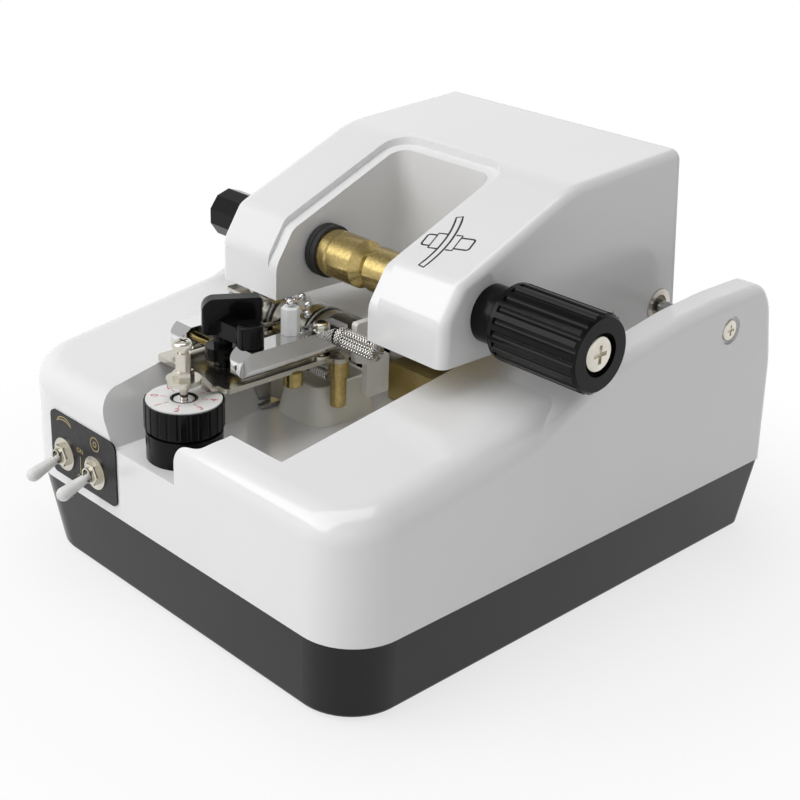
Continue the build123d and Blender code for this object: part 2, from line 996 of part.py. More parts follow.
def switch_plate():
    width = switch_plate_right_x - switch_plate_left_x
    height = switch_plate_top_z - switch_plate_foot_z
    face = RectangleRounded(width, height, switch_plate_radius)
    middle_x = (switch_plate_left_x + switch_plate_right_x) / 2
    middle_z = (switch_plate_foot_z + switch_plate_top_z) / 2
    plate = Pos(middle_x, front_y - switch_plate_thickness / 2, middle_z) * Rot(90, 0, 0)
    plate = plate * extrude(face, switch_plate_thickness / 2, both=True)
    for x, z in switch_places:
        plate -= rod_y(x, z, front_y - overrun, front_y + overrun, bushing_radius + run_fit)
    return plate


def switch_bodies():
    bodies = Part()
    inner_y = front_y + wall
    for x, z in switch_places:
        body = box(
            x - switch_body_width / 2,
            x + switch_body_width / 2,
            inner_y,
            inner_y + switch_body_depth,
            z - switch_body_height / 2,
            z + switch_body_height / 2,
        )
        bushing = rod_y(x, z, bushing_front_y, inner_y + run_fit, bushing_radius)
        bore = rod_y(x, z, bushing_front_y - overrun, inner_y - sheet / 2, bushing_bore)
        bodies += body + bushing - bore
    return bodies


def switch_nuts():
    """A ring washer and a hexagon nut on each bushing."""
    pieces = []
    washer_y = front_y - switch_plate_thickness - washer_thickness
    nut_y = washer_y - switch_nut_height
    for x, z in switch_places:
        washer = rod_y(x, z, washer_y, front_y - switch_plate_thickness, washer_radius)
        nut = hex_y(x, z, nut_y, washer_y, switch_nut_flats)
        bore = rod_y(x, z, nut_y - overrun, front_y, bushing_radius + run_fit / 2)
        pieces.append(washer - bore)
        pieces.append(nut - bore)
    return pieces


def hex_y(x, z, y0, y1, flats):
    """A hexagon across its flats, lying along Y."""
    face = RegularPolygon(flats / 2, 6, major_radius=False)
    solid = extrude(face, (y1 - y0) / 2, both=True)
    solid = chamfer(solid.edges().group_by(Axis.Z)[-1], flats * nut_chamfer_share)
    return Pos(x, (y0 + y1) / 2, z) * Rot(90, 0, 0) * solid


def hex_z(x, y, z0, z1, flats):
    """A hexagon across its flats, standing upright."""
    face = RegularPolygon(flats / 2, 6, major_radius=False)
    solid = extrude(face, (z1 - z0) / 2, both=True)
    solid = chamfer(solid.edges().group_by(Axis.Z)[-1], flats * nut_chamfer_share)
    return Pos(x, y, (z0 + z1) / 2) * solid


def toggle(x, z):
    """A lever with its plastic sleeve, drawn along the lever and then tilted."""
    ball = Sphere(toggle_ball_radius)
    ball += Rot(0, 90, 0) * Cylinder(toggle_pin_radius, toggle_pin_half * 2)
    neck = Pos(0, 0, toggle_sleeve_start / 2) * Cylinder(toggle_neck_radius, toggle_sleeve_start)
    taper = toggle_end - toggle_sleeve_start
    sleeve = Cone(toggle_root_radius, toggle_tip_radius, taper)
    tip = Pos(0, 0, toggle_end) * Sphere(toggle_tip_radius)
    lever = ball + neck + Pos(0, 0, toggle_sleeve_start + taper / 2) * sleeve + tip
    return Pos(x, toggle_pivot_y, z) * Rot(90 + toggle_tilt, 0, 0) * lever


# Depth dial


def dial_sleeve():
    sleeve = rod_z(dial_x, dial_y, notch_floor_z, sleeve_top_z, sleeve_radius)
    sleeve -= rod_z(dial_x, dial_y, notch_floor_z + sheet, sleeve_top_z + overrun, sleeve_bore)
    window_z = (notch_floor_z + sleeve_top_z) / 2 + sleeve_window / 2
    window = Pos(-sleeve_radius, 0, 0) * Box(sleeve_window_depth * 2, sleeve_window, sleeve_window)
    return sleeve - Pos(dial_x, dial_y, window_z) * Rot(0, 0, sleeve_window_turn) * window


def dial_knob():
    knob = rod_z(dial_x, dial_y, dial_foot_z, dial_foot_z + dial_groove, dial_groove_radius)
    drum_z = dial_foot_z + dial_groove
    drum = rod_z(dial_x, dial_y, drum_z, dial_top_z, dial_radius)
    reach = dial_radius + dial_flute_radius - dial_flute_depth
    for i in range(dial_flutes):
        turn = 360 / dial_flutes * i
        flute = Rot(0, 0, turn) * Pos(reach, 0, 0) * Cylinder(dial_flute_radius, overrun * 5)
        drum -= Pos(dial_x, dial_y, dial_top_z) * flute
    knob += drum
    ring = rod_z(dial_x, dial_y, dial_top_z, dial_top_z + dial_face_thickness, dial_ring_radius)
    bore = rod_z(dial_x, dial_y, dial_foot_z - overrun, dial_top_z + overrun, lift_radius + run_fit * 2)
    return knob + ring - bore


def dial_face():
    top_z = dial_top_z + dial_face_thickness
    disc = rod_z(dial_x, dial_y, dial_top_z, top_z, dial_face_radius)
    return disc - rod_z(dial_x, dial_y, dial_foot_z, top_z + overrun, dial_ring_radius + run_fit / 2)


def lift_post():
    head_z = lift_top_z - lift_head
    head = rod_z(dial_x, dial_y, head_z, lift_top_z, lift_radius)
    head = chamfer(head.edges().sort_by(Axis.Z)[-1], sheet / 5)
    return head + rod_z(dial_x, dial_y, lift_foot_z, head_z, lift_stem_radius)


# Guide mechanism on the plate


def mechanism_plate():
    outline = rounded_outline(
        [
            (plate_left_x, plate_front_y),
            (plate_right_x, plate_front_y),
            (plate_right_x, plate_rear_y),
            (plate_left_x, plate_rear_y),
        ],
        (plate_corner_radius,) * 4,
    )
    plate = slab_z(outline, plate_foot_z, plate_top_z)
    plate += rod_z(post_x, post_y, plate_foot_z, plate_top_z, plate_ear_radius)
    plate += box(
        post_x - plate_ear_radius, post_x, plate_rear_y - overrun, post_y, plate_foot_z, plate_top_z
    )
    crest_z = plate_foot_z + tongue_rise
    tongue = make_face(
        Polyline(
            (plate_front_y + sheet, plate_foot_z),
            (tongue_bend_y, plate_foot_z),
            (tongue_crest_y, crest_z),
            (dial_y, crest_z),
            (dial_y, crest_z + sheet),
            (tongue_crest_y + sheet / 3, crest_z + sheet),
            (tongue_bend_y + sheet / 3, plate_top_z),
            (plate_front_y + sheet, plate_top_z),
            (plate_front_y + sheet, plate_foot_z),
        )
    )
    plate += slab_x(tongue, dial_x - tongue_half, dial_x + tongue_half)
    plate += rod_z(dial_x, dial_y, crest_z, crest_z + sheet, ring_radius)
    plate -= rod_z(dial_x, dial_y, crest_z - overrun, crest_z + overrun, depth_screw_radius + run_fit)
    for x0 in (lug_left_x, post_right_x + seat_gap):
        plate += pivot_lug(x0)
    plate += box(
        spring_left_x - hook_lug,
        spring_left_x,
        spring_y - hook_half,
        spring_y + hook_half,
        spring_z - hook_half,
        plate_foot_z,
    )
    for x in (right_bar_screw_x, left_bar_screw_x):
        plate -= rod_z(x, bar_screw_y, plate_foot_z - overrun, plate_top_z + overrun, bar_screw_shank)
    return plate - rod_z(lever_x, lever_y, plate_foot_z - overrun, plate_top_z + overrun, lever_pin_radius)


def pivot_lug(x0):
    """One of the two lugs under the plate that take the pivot pin."""
    x1 = x0 + lug_thickness
    lug = box(
        x0,
        x1,
        plate_pivot_y - lug_radius,
        plate_pivot_y + lug_radius,
        plate_pivot_z,
        plate_foot_z,
    )
    lug += rod_x(plate_pivot_y, plate_pivot_z, x0, x1, lug_radius)
    return lug - rod_x(plate_pivot_y, plate_pivot_z, x0, x1, plate_pivot_radius + run_fit)


def plate_post():
    """The post that stands on the basin and carries the plate's pivot pin."""
    foot = box(
        post_left_x,
        post_foot_x,
        plate_pivot_y - post_half,
        plate_pivot_y + post_half,
        floor_z,
        floor_z + sheet,
    )
    stem = box(
        post_left_x,
        post_right_x,
        plate_pivot_y - post_eye_radius,
        plate_pivot_y + post_eye_radius,
        floor_z,
        plate_pivot_z,
    )
    eye = rod_x(plate_pivot_y, plate_pivot_z, post_left_x, post_right_x, post_eye_radius)
    pin_end = post_right_x + seat_gap + lug_thickness + seat_gap
    pin = rod_x(plate_pivot_y, plate_pivot_z, lug_left_x - seat_gap, pin_end, plate_pivot_radius)
    return foot + stem + eye + pin - basin_wall_cut()


def basin_wall_cut():
    """The casing's own sloping side, taken off whatever is seated against it."""
    around = box(
        slope_top_rear_x - overrun,
        basin_corner_x,
        front_y,
        basin_rear_y + wall,
        floor_z - overrun,
        basin_top_z - overrun,
    )
    return around - basin_space(-seat_gap)


def depth_screw():
    tip = rod_z(dial_x, dial_y, screw_tip_z, screw_thread_z, screw_tip_radius)
    shank = depth_screw_head_z - screw_thread_z
    screw = pan_screw(depth_head_radius, depth_head_height, depth_screw_radius, shank)
    return tip + Pos(dial_x, dial_y, depth_screw_head_z) * screw


def depth_nuts():
    """The lock nut on the tongue and the spacer above it."""
    nut_z = plate_top_z + tongue_rise
    nut = hex_z(dial_x, dial_y, nut_z, nut_z + nut_height, nut_flats)
    spacer = rod_z(dial_x, dial_y, nut_z + nut_height, spacer_top_z, spacer_radius)
    bore = rod_z(dial_x, dial_y, nut_z - overrun, spacer_top_z + overrun, depth_screw_radius + run_fit)
    return [nut - bore, spacer - bore]


def guide_bar(x0, x1, y0, y1, screw_x):
    """A chromed bar: flat on top, rounded below, with a bevelled and rounded nose."""
    bar = box(x0, x1, y0, y1, bar_foot_z, bar_top_z)
    low = [
        edge
        for edge in bar.edges().filter_by(Axis.Y)
        if edge.center().Z < bar_foot_z + run_fit
    ]
    bar = fillet(low, bar_edge_radius)
    plan = rounded_outline(
        [(x0, y0), (x1, y0), (x1, y1), (x0, y1)], (bar_nose_radius, bar_nose_radius, 0, 0)
    )
    side = rounded_outline(
        [
            (y0, bar_foot_z),
            (y0, bar_top_z - bar_nose_drop),
            (y0 + bar_nose_run, bar_top_z),
            (y1, bar_top_z),
            (y1, bar_foot_z),
        ],
        (bar_keel_radius, bar_nose_bend, 0, 0, 0),
    )
    bar &= slab_z(plan, bar_foot_z, bar_top_z)
    bar &= slab_x(side, x0, x1)
    return bar - rod_z(
        screw_x, bar_screw_y, bar_foot_z - overrun, bar_top_z + overrun, bar_screw_shank + run_fit
    )


def right_guide_bar():
    bar = guide_bar(
        right_bar_left_x, right_bar_right_x, right_bar_front_y, right_bar_rear_y, right_bar_screw_x
    )
    for i in range(3):
        y = pin_y + i * hole_pitch
        bar -= rod_z(pin_x, y, pin_tip_z - seat_gap, bar_top_z + overrun, bar_hole)
    bar -= rod_x(
        knurl_y,
        knurl_z,
        right_bar_left_x - overrun,
        right_bar_right_x + overrun,
        knurl_neck_radius + run_fit,
    )
    tip_x = lever_x + cam_short + seat_gap
    return bar + rod_x(lever_y, stud_z, tip_x, right_bar_left_x + sheet, stud_radius)


def left_guide_bar():
    bar = guide_bar(
        left_bar_left_x, left_bar_right_x, left_bar_front_y, left_bar_rear_y, left_bar_screw_x
    )
    tip_x = lever_x - cam_short - seat_gap
    return bar + rod_x(lever_y, stud_z, left_bar_right_x - sheet, tip_x, stud_radius)


def bar_screws():
    """The two screws that the bars swing on, with a bush under each, and the lever's pin."""
    pieces = []
    for x in (right_bar_screw_x, left_bar_screw_x):
        lift = anchor_thickness + run_fit if x < lever_x else 0
        head_z = bar_top_z + run_fit + lift
        screw = pan_screw(bar_screw_head, bar_screw_head_height, bar_screw_shank, head_z - plate_foot_z)
        bush = rod_z(x, bar_screw_y, plate_top_z, bar_foot_z - run_fit, bar_bush_radius)
        pieces.append(Pos(x, bar_screw_y, head_z) * screw + bush)
    pin_top = lobe_foot_z
    pieces.append(rod_z(lever_x, lever_y, plate_foot_z, pin_top, lever_pin_radius))
    return pieces


def chain_anchor():
    """A flat strip under the left screw that holds the end of the bead chain."""
    z0 = bar_top_z + run_fit / 2
    strip = box(
        anchor_left_x,
        left_bar_screw_x,
        bar_screw_y - anchor_half,
        bar_screw_y + anchor_half,
        z0,
        z0 + anchor_thickness,
    )
    strip += rod_z(left_bar_screw_x, bar_screw_y, z0, z0 + anchor_thickness, anchor_half)
    strip = fillet(strip.edges().filter_by(Axis.Z).sort_by(Axis.X)[:2], anchor_half / 2)
    bore_radius = bar_screw_shank + run_fit
    return strip - rod_z(left_bar_screw_x, bar_screw_y, z0 - overrun, z0 + overrun, bore_radius)


def selector_pin():
    body = hex_z(pin_x, pin_y, pin_foot_z, pin_top_z, pin_width)
    return body + rod_z(pin_x, pin_y, pin_tip_z, pin_foot_z, pin_tip_radius)


def bead_chain():
    """Beads on a wire, from the strip under the left screw over to the selector pin's top."""
    end = (pin_x, pin_y, pin_top_z + run_fit + bead_radius)
    path = Spline(*chain_places, end)
    spots = [path @ (i / (bead_count - 1)) for i in range(bead_count)]
    chain = [Pos(*spot) * Sphere(bead_radius) for spot in spots]
    for spot, following in zip(spots, spots[1:]):
        step = following - spot
        link = Cylinder(link_radius, step.length - 2 * bead_radius - run_fit / 2)
        chain.append(Plane(origin=(spot + following) / 2, z_dir=step) * link)
    return chain


def knurled_screw():
    neck_end = right_bar_right_x + seat_gap * 2
    neck = rod_x(knurl_y, knurl_z, knurl_tip_x, neck_end, knurl_neck_radius)
    collar = rod_x(knurl_y, knurl_z, neck_end, neck_end + knurl_collar, knurl_collar_radius)
    grip = rod_x(knurl_y, knurl_z, neck_end + knurl_collar, knurl_end_x, knurl_radius)
    grip = chamfer(grip.edges().sort_by(Axis.X)[-1], knurl_groove_depth * 2)
    for i in range(knurl_grooves):
        turn = Rot(360 / knurl_grooves * i, 0, 0)
        tooth = Pos(0, 0, knurl_radius) * Rot(45, 0, 0)
        side = knurl_groove_depth * 2
        tool = Box(knurl_end_x - neck_end - knurl_collar * 2, side, side)
        middle = (knurl_end_x + neck_end + knurl_collar) / 2
        grip -= Pos(middle, knurl_y, knurl_z) * turn * tooth * tool
    screw = neck + collar + grip
    return screw - rod_z(
        knurl_hole_x, knurl_y, knurl_z - knurl_radius * 2, knurl_z + knurl_radius * 2, knurl_hole
    )


def wing_lever():
    """A stem with an oval cam, a flat blade over it, and a round lobe on an arm."""
    foot_z = plate_top_z + seat_gap
    stem = rod_z(0, 0, foot_z, blade_rear_foot_z, lever_stem_radius)
    cam = Pos(0, 0, cam_foot_z) * extrude(
        Ellipse(cam_short, cam_long), cam_top_z - cam_foot_z, dir=(0, 0, 1)
    )
    side = rounded_outline(
        [
            (-blade_front, blade_foot_z),
            (-blade_front, blade_top_z),
            (blade_rear, blade_top_z),
            (blade_rear, blade_rear_foot_z),
            (blade_step + sheet, blade_rear_foot_z),
            (blade_step, blade_foot_z),
        ],
        (blade_end_radius, blade_nose_radius, blade_end_radius, 0, 0, 0),
    )
    blade = Rot(0, 0, -90) * slab_x(side, -blade_half, blade_half)
    plan = rounded_outline(
        [
            (-blade_front, -blade_half),
            (blade_rear, -blade_half),
            (blade_rear, blade_half),
            (-blade_front, blade_half),
        ],
        (blade_end_radius,) * 4,
    )
    blade &= slab_z(plan, blade_foot_z, blade_top_z)
    arm = box(0, lobe_reach, -lobe_arm_half, lobe_arm_half, lobe_foot_z, lobe_top_z - sheet)
    lobe = rod_z(lobe_reach, 0, lobe_foot_z, lobe_top_z, lobe_radius)
    lobe = fillet(lobe.edges().sort_by(Axis.Z)[-1], sheet / 2)
    lever = stem + cam + Rot(0, 0, blade_turn) * blade + Rot(0, 0, lobe_turn) * (arm + lobe)
    lever -= rod_z(0, 0, foot_z - overrun, lobe_foot_z + seat_gap, lever_pin_radius + run_fit)
    return Pos(lever_x, lever_y, 0) * lever


def brass_posts():
    post = rod_z(post_x, post_y, brass_ring_foot_z, plate_foot_z, brass_ring_radius)
    post += rod_z(post_x, post_y, brass_post_foot_z, brass_ring_foot_z, brass_post_radius)
    post = chamfer(post.edges().sort_by(Axis.Z)[0], sheet / 5)
    stub = rod_z(stub_x, stub_y, brass_ring_foot_z, plate_foot_z, stub_radius)
    return [post, chamfer(stub.edges().sort_by(Axis.Z)[0], sheet / 5)]


def nylon_guide():
    outline = rounded_outline(
        [
            (nylon_front_y, nylon_top_z),
            (nylon_front_y, nylon_waist_z),
            (nylon_low_front_y, nylon_waist_z - sheet),
            (nylon_low_front_y, nylon_foot_z),
            (nylon_rear_y, nylon_foot_z),
            (nylon_rear_y, nylon_waist_z),
            (nylon_mid_y, nylon_waist_z + sheet),
            (nylon_mid_y, nylon_top_z),
        ],
        nylon_radii,
    )
    return slab_x(outline, nylon_left_x, nylon_right_x)


def guide_spring():
    """One wire wound along X, hooked between the plate's lug and the brass post."""
    start_x = spring_left_x + seat_gap + spring_wire
    reach = spring_right_x - seat_gap - spring_wire - start_x
    path = Helix(reach / spring_turns, reach, spring_coil_radius)
    print("guide spring, least gap between turns:", reach / spring_turns - 2 * spring_wire)
    path = Pos(start_x, spring_y, spring_z) * Rot(0, 90, 0) * path
    ring = Plane(origin=path @ 0, z_dir=path % 0) * Circle(spring_wire)
    return sweep(ring, path=path, is_frenet=True)


def lens_rest():
    """The two cheeks beside the wheel, on which the lens edge slides."""
    rest = Part()
    for x0, x1 in (
        (rest_outer_left_x, rest_gap_left_x),
        (rest_gap_right_x, rest_outer_right_x),
    ):
        cheek = rod_x(wheel_y, wheel_z, x0, x1, rest_radius)
        arm = box(x0, x1, plate_rear_y, wheel_y, plate_foot_z - sheet, plate_top_z)
        cheek += arm
        cheek &= box(x0, x1, plate_rear_y, wheel_y + rest_radius, rest_foot_z, wheel_z + rest_radius)
        rest += cheek - rod_x(wheel_y, wheel_z, x0, x1, rest_hole)
    return rest


def grooving_wheel():
    half = wheel_thickness / 2
    disc = rod_x(wheel_y, wheel_z, wheel_x - half, wheel_x + half, wheel_radius)
    disc = chamfer(disc.edges().filter_by(GeomType.CIRCLE), half * head_round_share)
    half_hub = wheel_hub / 2
    hub = rod_x(wheel_y, wheel_z, wheel_x - half_hub, wheel_x + half_hub, wheel_hub_radius)
    bore = rod_x(wheel_y, wheel_z, wheel_x - wheel_hub, wheel_x + wheel_hub, wheel_spindle_radius)
    return disc + hub - bore


def wheel_spindle():
    return flanged_pulley(
        wheel_y,
        wheel_z,
        wheel_pulley_left_x,
        wheel_pulley_right_x,
        wheel_pulley_radius,
        cartridge_left_x + sheet,
        wheel_spindle_right_x,
        wheel_spindle_radius,
    )


def spindle_cartridge():
    """The bearing housing of the wheel spindle, on a foot that stands on the basin's slope."""
    housing = rod_x(wheel_y, wheel_z, cartridge_left_x, cartridge_right_x, cartridge_radius)
    foot = box(
        cartridge_left_x,
        cartridge_right_x,
        wheel_y - cartridge_foot_half,
        wheel_y + cartridge_foot_half,
        floor_z,
        wheel_z,
    )
    bore = rod_x(
        wheel_y,
        wheel_z,
        cartridge_left_x - overrun,
        cartridge_right_x + overrun,
        wheel_spindle_radius + run_fit,
    )
    return housing + foot - bore - basin_wall_cut()


def water_cup():
    """An open cup for the cooling water, wider at its foot."""

    def level(z, grow):
        points = [
            (cup_left_x - grow, cup_front_y - grow),
            (cup_right_x + grow, cup_front_y - grow),
            (cup_right_x + grow, cup_rear_y + grow),
            (cup_left_x - grow, cup_rear_y + grow),
        ]
        return Pos(0, 0, z) * rounded_outline(points, (cup_radius + grow,) * 4)

    outer = loft([level(floor_z, 0), level(cup_top_z, -cup_draft)], ruled=True)
    inner = loft(
        [level(floor_z + cup_wall, -cup_wall), level(cup_top_z + run_fit, -cup_draft - cup_wall)],
        ruled=True,
    )
    return outer - inner


# Head


def head_points(inset, low_z):
    return [
        (head_front_y + inset, low_z),
        (head_front_y + inset, head_front_top_z),
        (head_nose_y + inset, head_nose_z - inset / 2),
        (head_bend_y, head_bend_z - inset),
        (head_top_y, head_top_z - inset),
    ]


def head_side(inset):
    """The head seen from its side, or the same outline drawn in by a wall."""
    drop = overrun if inset else 0
    points = head_points(inset, head_bottom_z - drop) + [
        (head_rear_y + drop, head_low_z - drop),
        (head_low_y + inset, head_low_z - drop),
        (head_step_y + inset, head_bottom_z - drop),
    ]
    if inset:
        points[4] = (head_top_y + drop, head_top_z - inset)
    radii = (0, head_radii[0], head_radii[1], head_radii[2], 0, 0, 0, 0)
    return rounded_outline(points, radii)


def recess_plan(grow):
    """The lens recess seen from above, open at the front."""
    radius = recess_corner_radius + grow
    points = [
        (recess_left_x - grow, head_front_y - overrun),
        (recess_right_x + grow, head_front_y - overrun),
        (recess_right_x + grow, recess_rear_y + grow),
        (recess_left_x - grow, recess_rear_y + grow),
    ]
    return rounded_outline(points, (0, 0, radius, radius))


def head_form():
    """The head's outer form, solid, with its long edges rounded."""
    form = slab_x(head_side(0), -head_half, head_half)
    long_edges = [
        edge
        for edge in form.edges()
        if abs(abs(edge.center().X) - head_half) < run_fit / 5
        and edge.center().Z > head_bottom_z + run_fit
        and edge.center().Y < head_top_y
    ]
    return fillet(long_edges, head_edge_radius)


def rear_band(front, back):
    """A leaning slab parallel to the head's rear face, between two depths from it."""
    high_y = rear_face_y(head_top_z + overrun)
    low_y = rear_face_y(head_low_z - overrun)
    face = make_face(
        Polyline(
            (high_y - front, head_top_z + overrun),
            (high_y - back, head_top_z + overrun),
            (low_y - back, head_low_z - overrun),
            (low_y - front, head_low_z - overrun),
            (high_y - front, head_top_z + overrun),
        )
    )
    return slab_x(face, -head_half - overrun, head_half + overrun)


def pivot_space(radius):
    """The round tool that clears the pivot right through the head."""
    return rod_x(pivot_y, pivot_z, -head_half - overrun, head_half + overrun, radius)


def rear_face_y(z):
    """Where the head's leaning rear face is at one height."""
    return head_top_y + (head_top_z - z) * rear_lean


def head_shell():
    form = head_form()
    hollow = slab_x(head_side(head_wall), head_wall - head_half, head_half - head_wall)
    pocket = slab_z(recess_plan(0), head_low_z - overrun, head_top_z + overrun)
    walls = slab_z(recess_plan(head_wall), head_low_z - overrun * 2, head_top_z + overrun)
    rim_zone = slab_z(recess_plan(rim_width), head_bottom_z, head_top_z + overrun)
    lowered = Pos(0, 0, -rim_depth) * slab_x(head_side(0), -head_half, head_half)
    rim_back = slab_z(recess_plan(rim_width + head_wall), head_bottom_z, head_top_z + overrun)
    thick = rim_back - Pos(0, 0, -rim_depth - head_wall) * slab_x(head_side(0), -head_half, head_half)
    shell = form - (hollow - walls - thick) - pocket
    shell -= rim_zone - lowered
    for x0, x1, radius in (
        (-head_half - overrun, -head_half + head_wall + overrun, outer_bush_radius + run_fit),
        (recess_left_x - head_wall - overrun, recess_left_x + overrun, spindle_disc_radius + run_fit * 3),
        (recess_right_x - overrun, recess_right_x + head_wall + overrun, arm_hole_radius),
        (head_half - head_wall - overrun, head_half + overrun, bush_spigot_radius + run_fit),
    ):
        shell -= rod_x(chuck_y, chuck_z, x0, x1, radius)
    round_pivot = rod_x(pivot_y, pivot_z, -head_half, head_half, head_bottom_z - head_low_z)
    shell += cover_bosses() & (form - round_pivot)
    shell -= rear_band(-overrun, cover_thickness)
    for place in cover_screw_places():
        shell -= place * Cylinder(screw_shank + run_fit, cover_screw_reach * 2 + overrun)
    return shell - pivot_space(collar_radius + run_fit)


def cover_bosses():
    """The two upright strips inside the shell that take the cover's screws."""
    zone = rear_band(0, cover_boss_depth)
    strips = Part()
    for side in (-1, 1):
        outer_x = side * (head_half - head_wall / 2)
        inner_x = side * (head_half - cover_boss)
        strips += box(
            min(outer_x, inner_x),
            max(outer_x, inner_x),
            head_top_y - cover_boss_depth * 2,
            head_rear_y + overrun,
            cover_boss_foot_z,
            cover_boss_top_z,
        )
    return strips & zone


def cover_screw_places():
    """Where each cover screw sits on the leaning rear face, its head to the rear."""
    lean_angle = degrees(atan(rear_lean))
    return [
        Pos(side * cover_screw_x, rear_face_y(z), z) * Rot(lean_angle - 90, 0, 0)
        for z in cover_screw_heights
        for side in (-1, 1)
    ]


def head_rear_cover():
    """A flat cover that closes the leaning rear of the shell."""
    cover = head_form() & rear_band(0, cover_thickness - run_fit)
    for place in cover_screw_places():
        cover -= place * Cylinder(screw_shank + run_fit, cover_screw_reach)
    return cover - pivot_space(collar_radius + run_fit)


def cover_screws():
    screw = pan_screw(cover_screw_radius, cover_screw_height, screw_shank, cover_screw_reach)
    return [place * screw for place in cover_screw_places()]


def head_frame():
    """The steel plate under the head and the two cheeks that turn on the pivot."""
    half = head_half - head_wall - seat_gap
    front = head_front_y + head_wall + seat_gap
    plate = box(-half, half, front, cheek_rear_y - sheet * 2, frame_plate_z, frame_plate_z + sheet)
    plate -= slab_z(recess_plan(head_wall + seat_gap), frame_plate_z - overrun, frame_plate_z + overrun)
    for side in (-1, 1):
        x0 = min(side * half, side * (half - sheet))
        plate += box(x0, x0 + sheet, cheek_front_y, cheek_rear_y - sheet * 2, cheek_foot_z, cheek_top_z)
    return plate - rod_x(pivot_y, pivot_z, -head_half, head_half, collar_radius + run_fit)


def pivot_collars():
    collars = []
    for side in (-1, 1):
        face_x = side * collar_face_x
        back_x = side * (collar_face_x - collar_length)
        collar = rod_x(pivot_y, pivot_z, min(face_x, back_x), max(face_x, back_x), collar_radius)
        well_x = side * (collar_face_x - collar_well_depth)
        far_x = side * (collar_face_x + overrun)
        collar -= rod_x(pivot_y, pivot_z, min(well_x, far_x), max(well_x, far_x), collar_well_radius)
        collars.append(collar - pivot_space(pivot_bore))
    return collars


def pivot_rod():
    return rod_x(pivot_y, pivot_z, -pivot_end_x, pivot_end_x, pivot_radius)


def ear_screws():
    screws = []
    head_x = half_width - ear_recess_depth
    length = head_x - pivot_end_x - run_fit
    for side in (-1, 1):
        screw = pan_screw(ear_screw_radius, ear_screw_height, screw_shank, length)
        screws.append(Pos(side * head_x, pivot_y, pivot_z) * Rot(0, side * 90, 0) * screw)
    return screws


def lens_motor():
    can = rod_x(lens_motor_y, lens_motor_z, lens_motor_left_x, lens_motor_right_x, lens_motor_radius)
    can = chamfer(can.edges().filter_by(GeomType.CIRCLE), sheet / 2)
    boss_x = lens_motor_left_x - lens_motor_boss
    return can + rod_x(lens_motor_y, lens_motor_z, boss_x, lens_motor_left_x, lens_motor_boss_radius)


def lens_motor_pulley():
    return flanged_pulley(
        lens_motor_y,
        lens_motor_z,
        pulley_left_x,
        pulley_right_x,
        lens_motor_pulley_radius,
        pulley_left_x - sheet / 2,
        lens_motor_left_x - lens_motor_boss - run_fit,
        motor_shaft_radius,
    )


def lens_belt():
    return belt(
        pulley_left_x + pulley_flange + belt_margin,
        pulley_right_x - pulley_flange - belt_margin,
        (chuck_y, chuck_z),
        lens_pulley_radius + seat_gap,
        (lens_motor_y, lens_motor_z),
        lens_motor_pulley_radius + seat_gap,
    )


def spindle_bushings():
    inner_face = recess_left_x - head_wall - run_fit * 2
    flange = rod_x(chuck_y, chuck_z, inner_face - bush_flange, inner_face, bush_flange_radius)
    sleeve = rod_x(chuck_y, chuck_z, bush_sleeve_left_x, inner_face, bush_sleeve_radius)
    outer = rod_x(chuck_y, chuck_z, outer_bush_left_x, outer_bush_right_x, outer_bush_radius)
    bore = rod_x(chuck_y, chuck_z, -head_half - overrun, 0, spindle_radius + run_fit)
    return [flange + sleeve - bore, outer - bore]


def clamp_bushing():
    neck = rod_x(chuck_y, chuck_z, head_half, neck_end_x, neck_radius)
    spigot = rod_x(chuck_y, chuck_z, bush_spigot_x, head_half, bush_spigot_radius)
    return neck + spigot - rod_x(chuck_y, chuck_z, 0, neck_end_x + overrun, spindle_radius + run_fit)


def left_spindle():
    disc_right_x = lens_plane_x - pad_thickness - run_fit
    shaft = flanged_pulley(
        chuck_y,
        chuck_z,
        pulley_left_x,
        pulley_right_x,
        lens_pulley_radius,
        spindle_left_x,
        disc_right_x,
        spindle_radius,
    )
    return shaft + rod_x(
        chuck_y, chuck_z, disc_right_x - spindle_disc_depth, disc_right_x, spindle_disc_radius
    )


def left_pad():
    x1 = lens_plane_x - run_fit
    pad = rod_x(chuck_y, chuck_z, x1 - pad_thickness, x1, pad_radius)
    return fillet(pad.edges().filter_by(GeomType.CIRCLE), pad_thickness / 4)


def right_pad():
    x0 = lens_plane_x + run_fit
    pad = rod_x(chuck_y, chuck_z, x0, x0 + pad_thickness, pad_radius)
    return fillet(pad.edges().filter_by(GeomType.CIRCLE), pad_thickness / 4)


def left_knob():
    face = RegularPolygon(left_knob_radius, left_knob_sides)
    length = left_knob_right_x - left_knob_left_x
    grip = Rot(0, 90, 0) * extrude(face, length / 2, both=True)
    grip = chamfer(grip.faces().sort_by(Axis.X)[0].edges(), knob_edge)
    grip = Pos((left_knob_left_x + left_knob_right_x) / 2, chuck_y, chuck_z) * grip
    return grip - rod_x(chuck_y, chuck_z, spindle_left_x, 0, spindle_radius + run_fit / 2)


def brass_chuck():
    """A turned piece: a grooved barrel behind the pad, a waist and a long shank."""
    front_x = lens_plane_x + run_fit + pad_thickness
    profile = Polyline(
        (front_x, 0),
        (front_x, brass_radius),
        (brass_groove_x - brass_groove, brass_radius),
        (brass_groove_x, brass_radius - brass_groove),
        (brass_groove_x + brass_groove, brass_radius),
        (brass_front_end_x, brass_radius),
        (brass_waist_x, brass_waist_radius),
        (brass_rear_x, brass_rear_radius),
        (brass_end_x, brass_rear_radius),
        (brass_end_x, 0),
        (front_x, 0),
    )
    body = revolve(make_face(profile), Axis.X)
    body = Pos(0, chuck_y, chuck_z) * body
    return body - rod_x(chuck_y, chuck_z, brass_bore_x, brass_end_x + overrun, spindle_radius + run_fit)


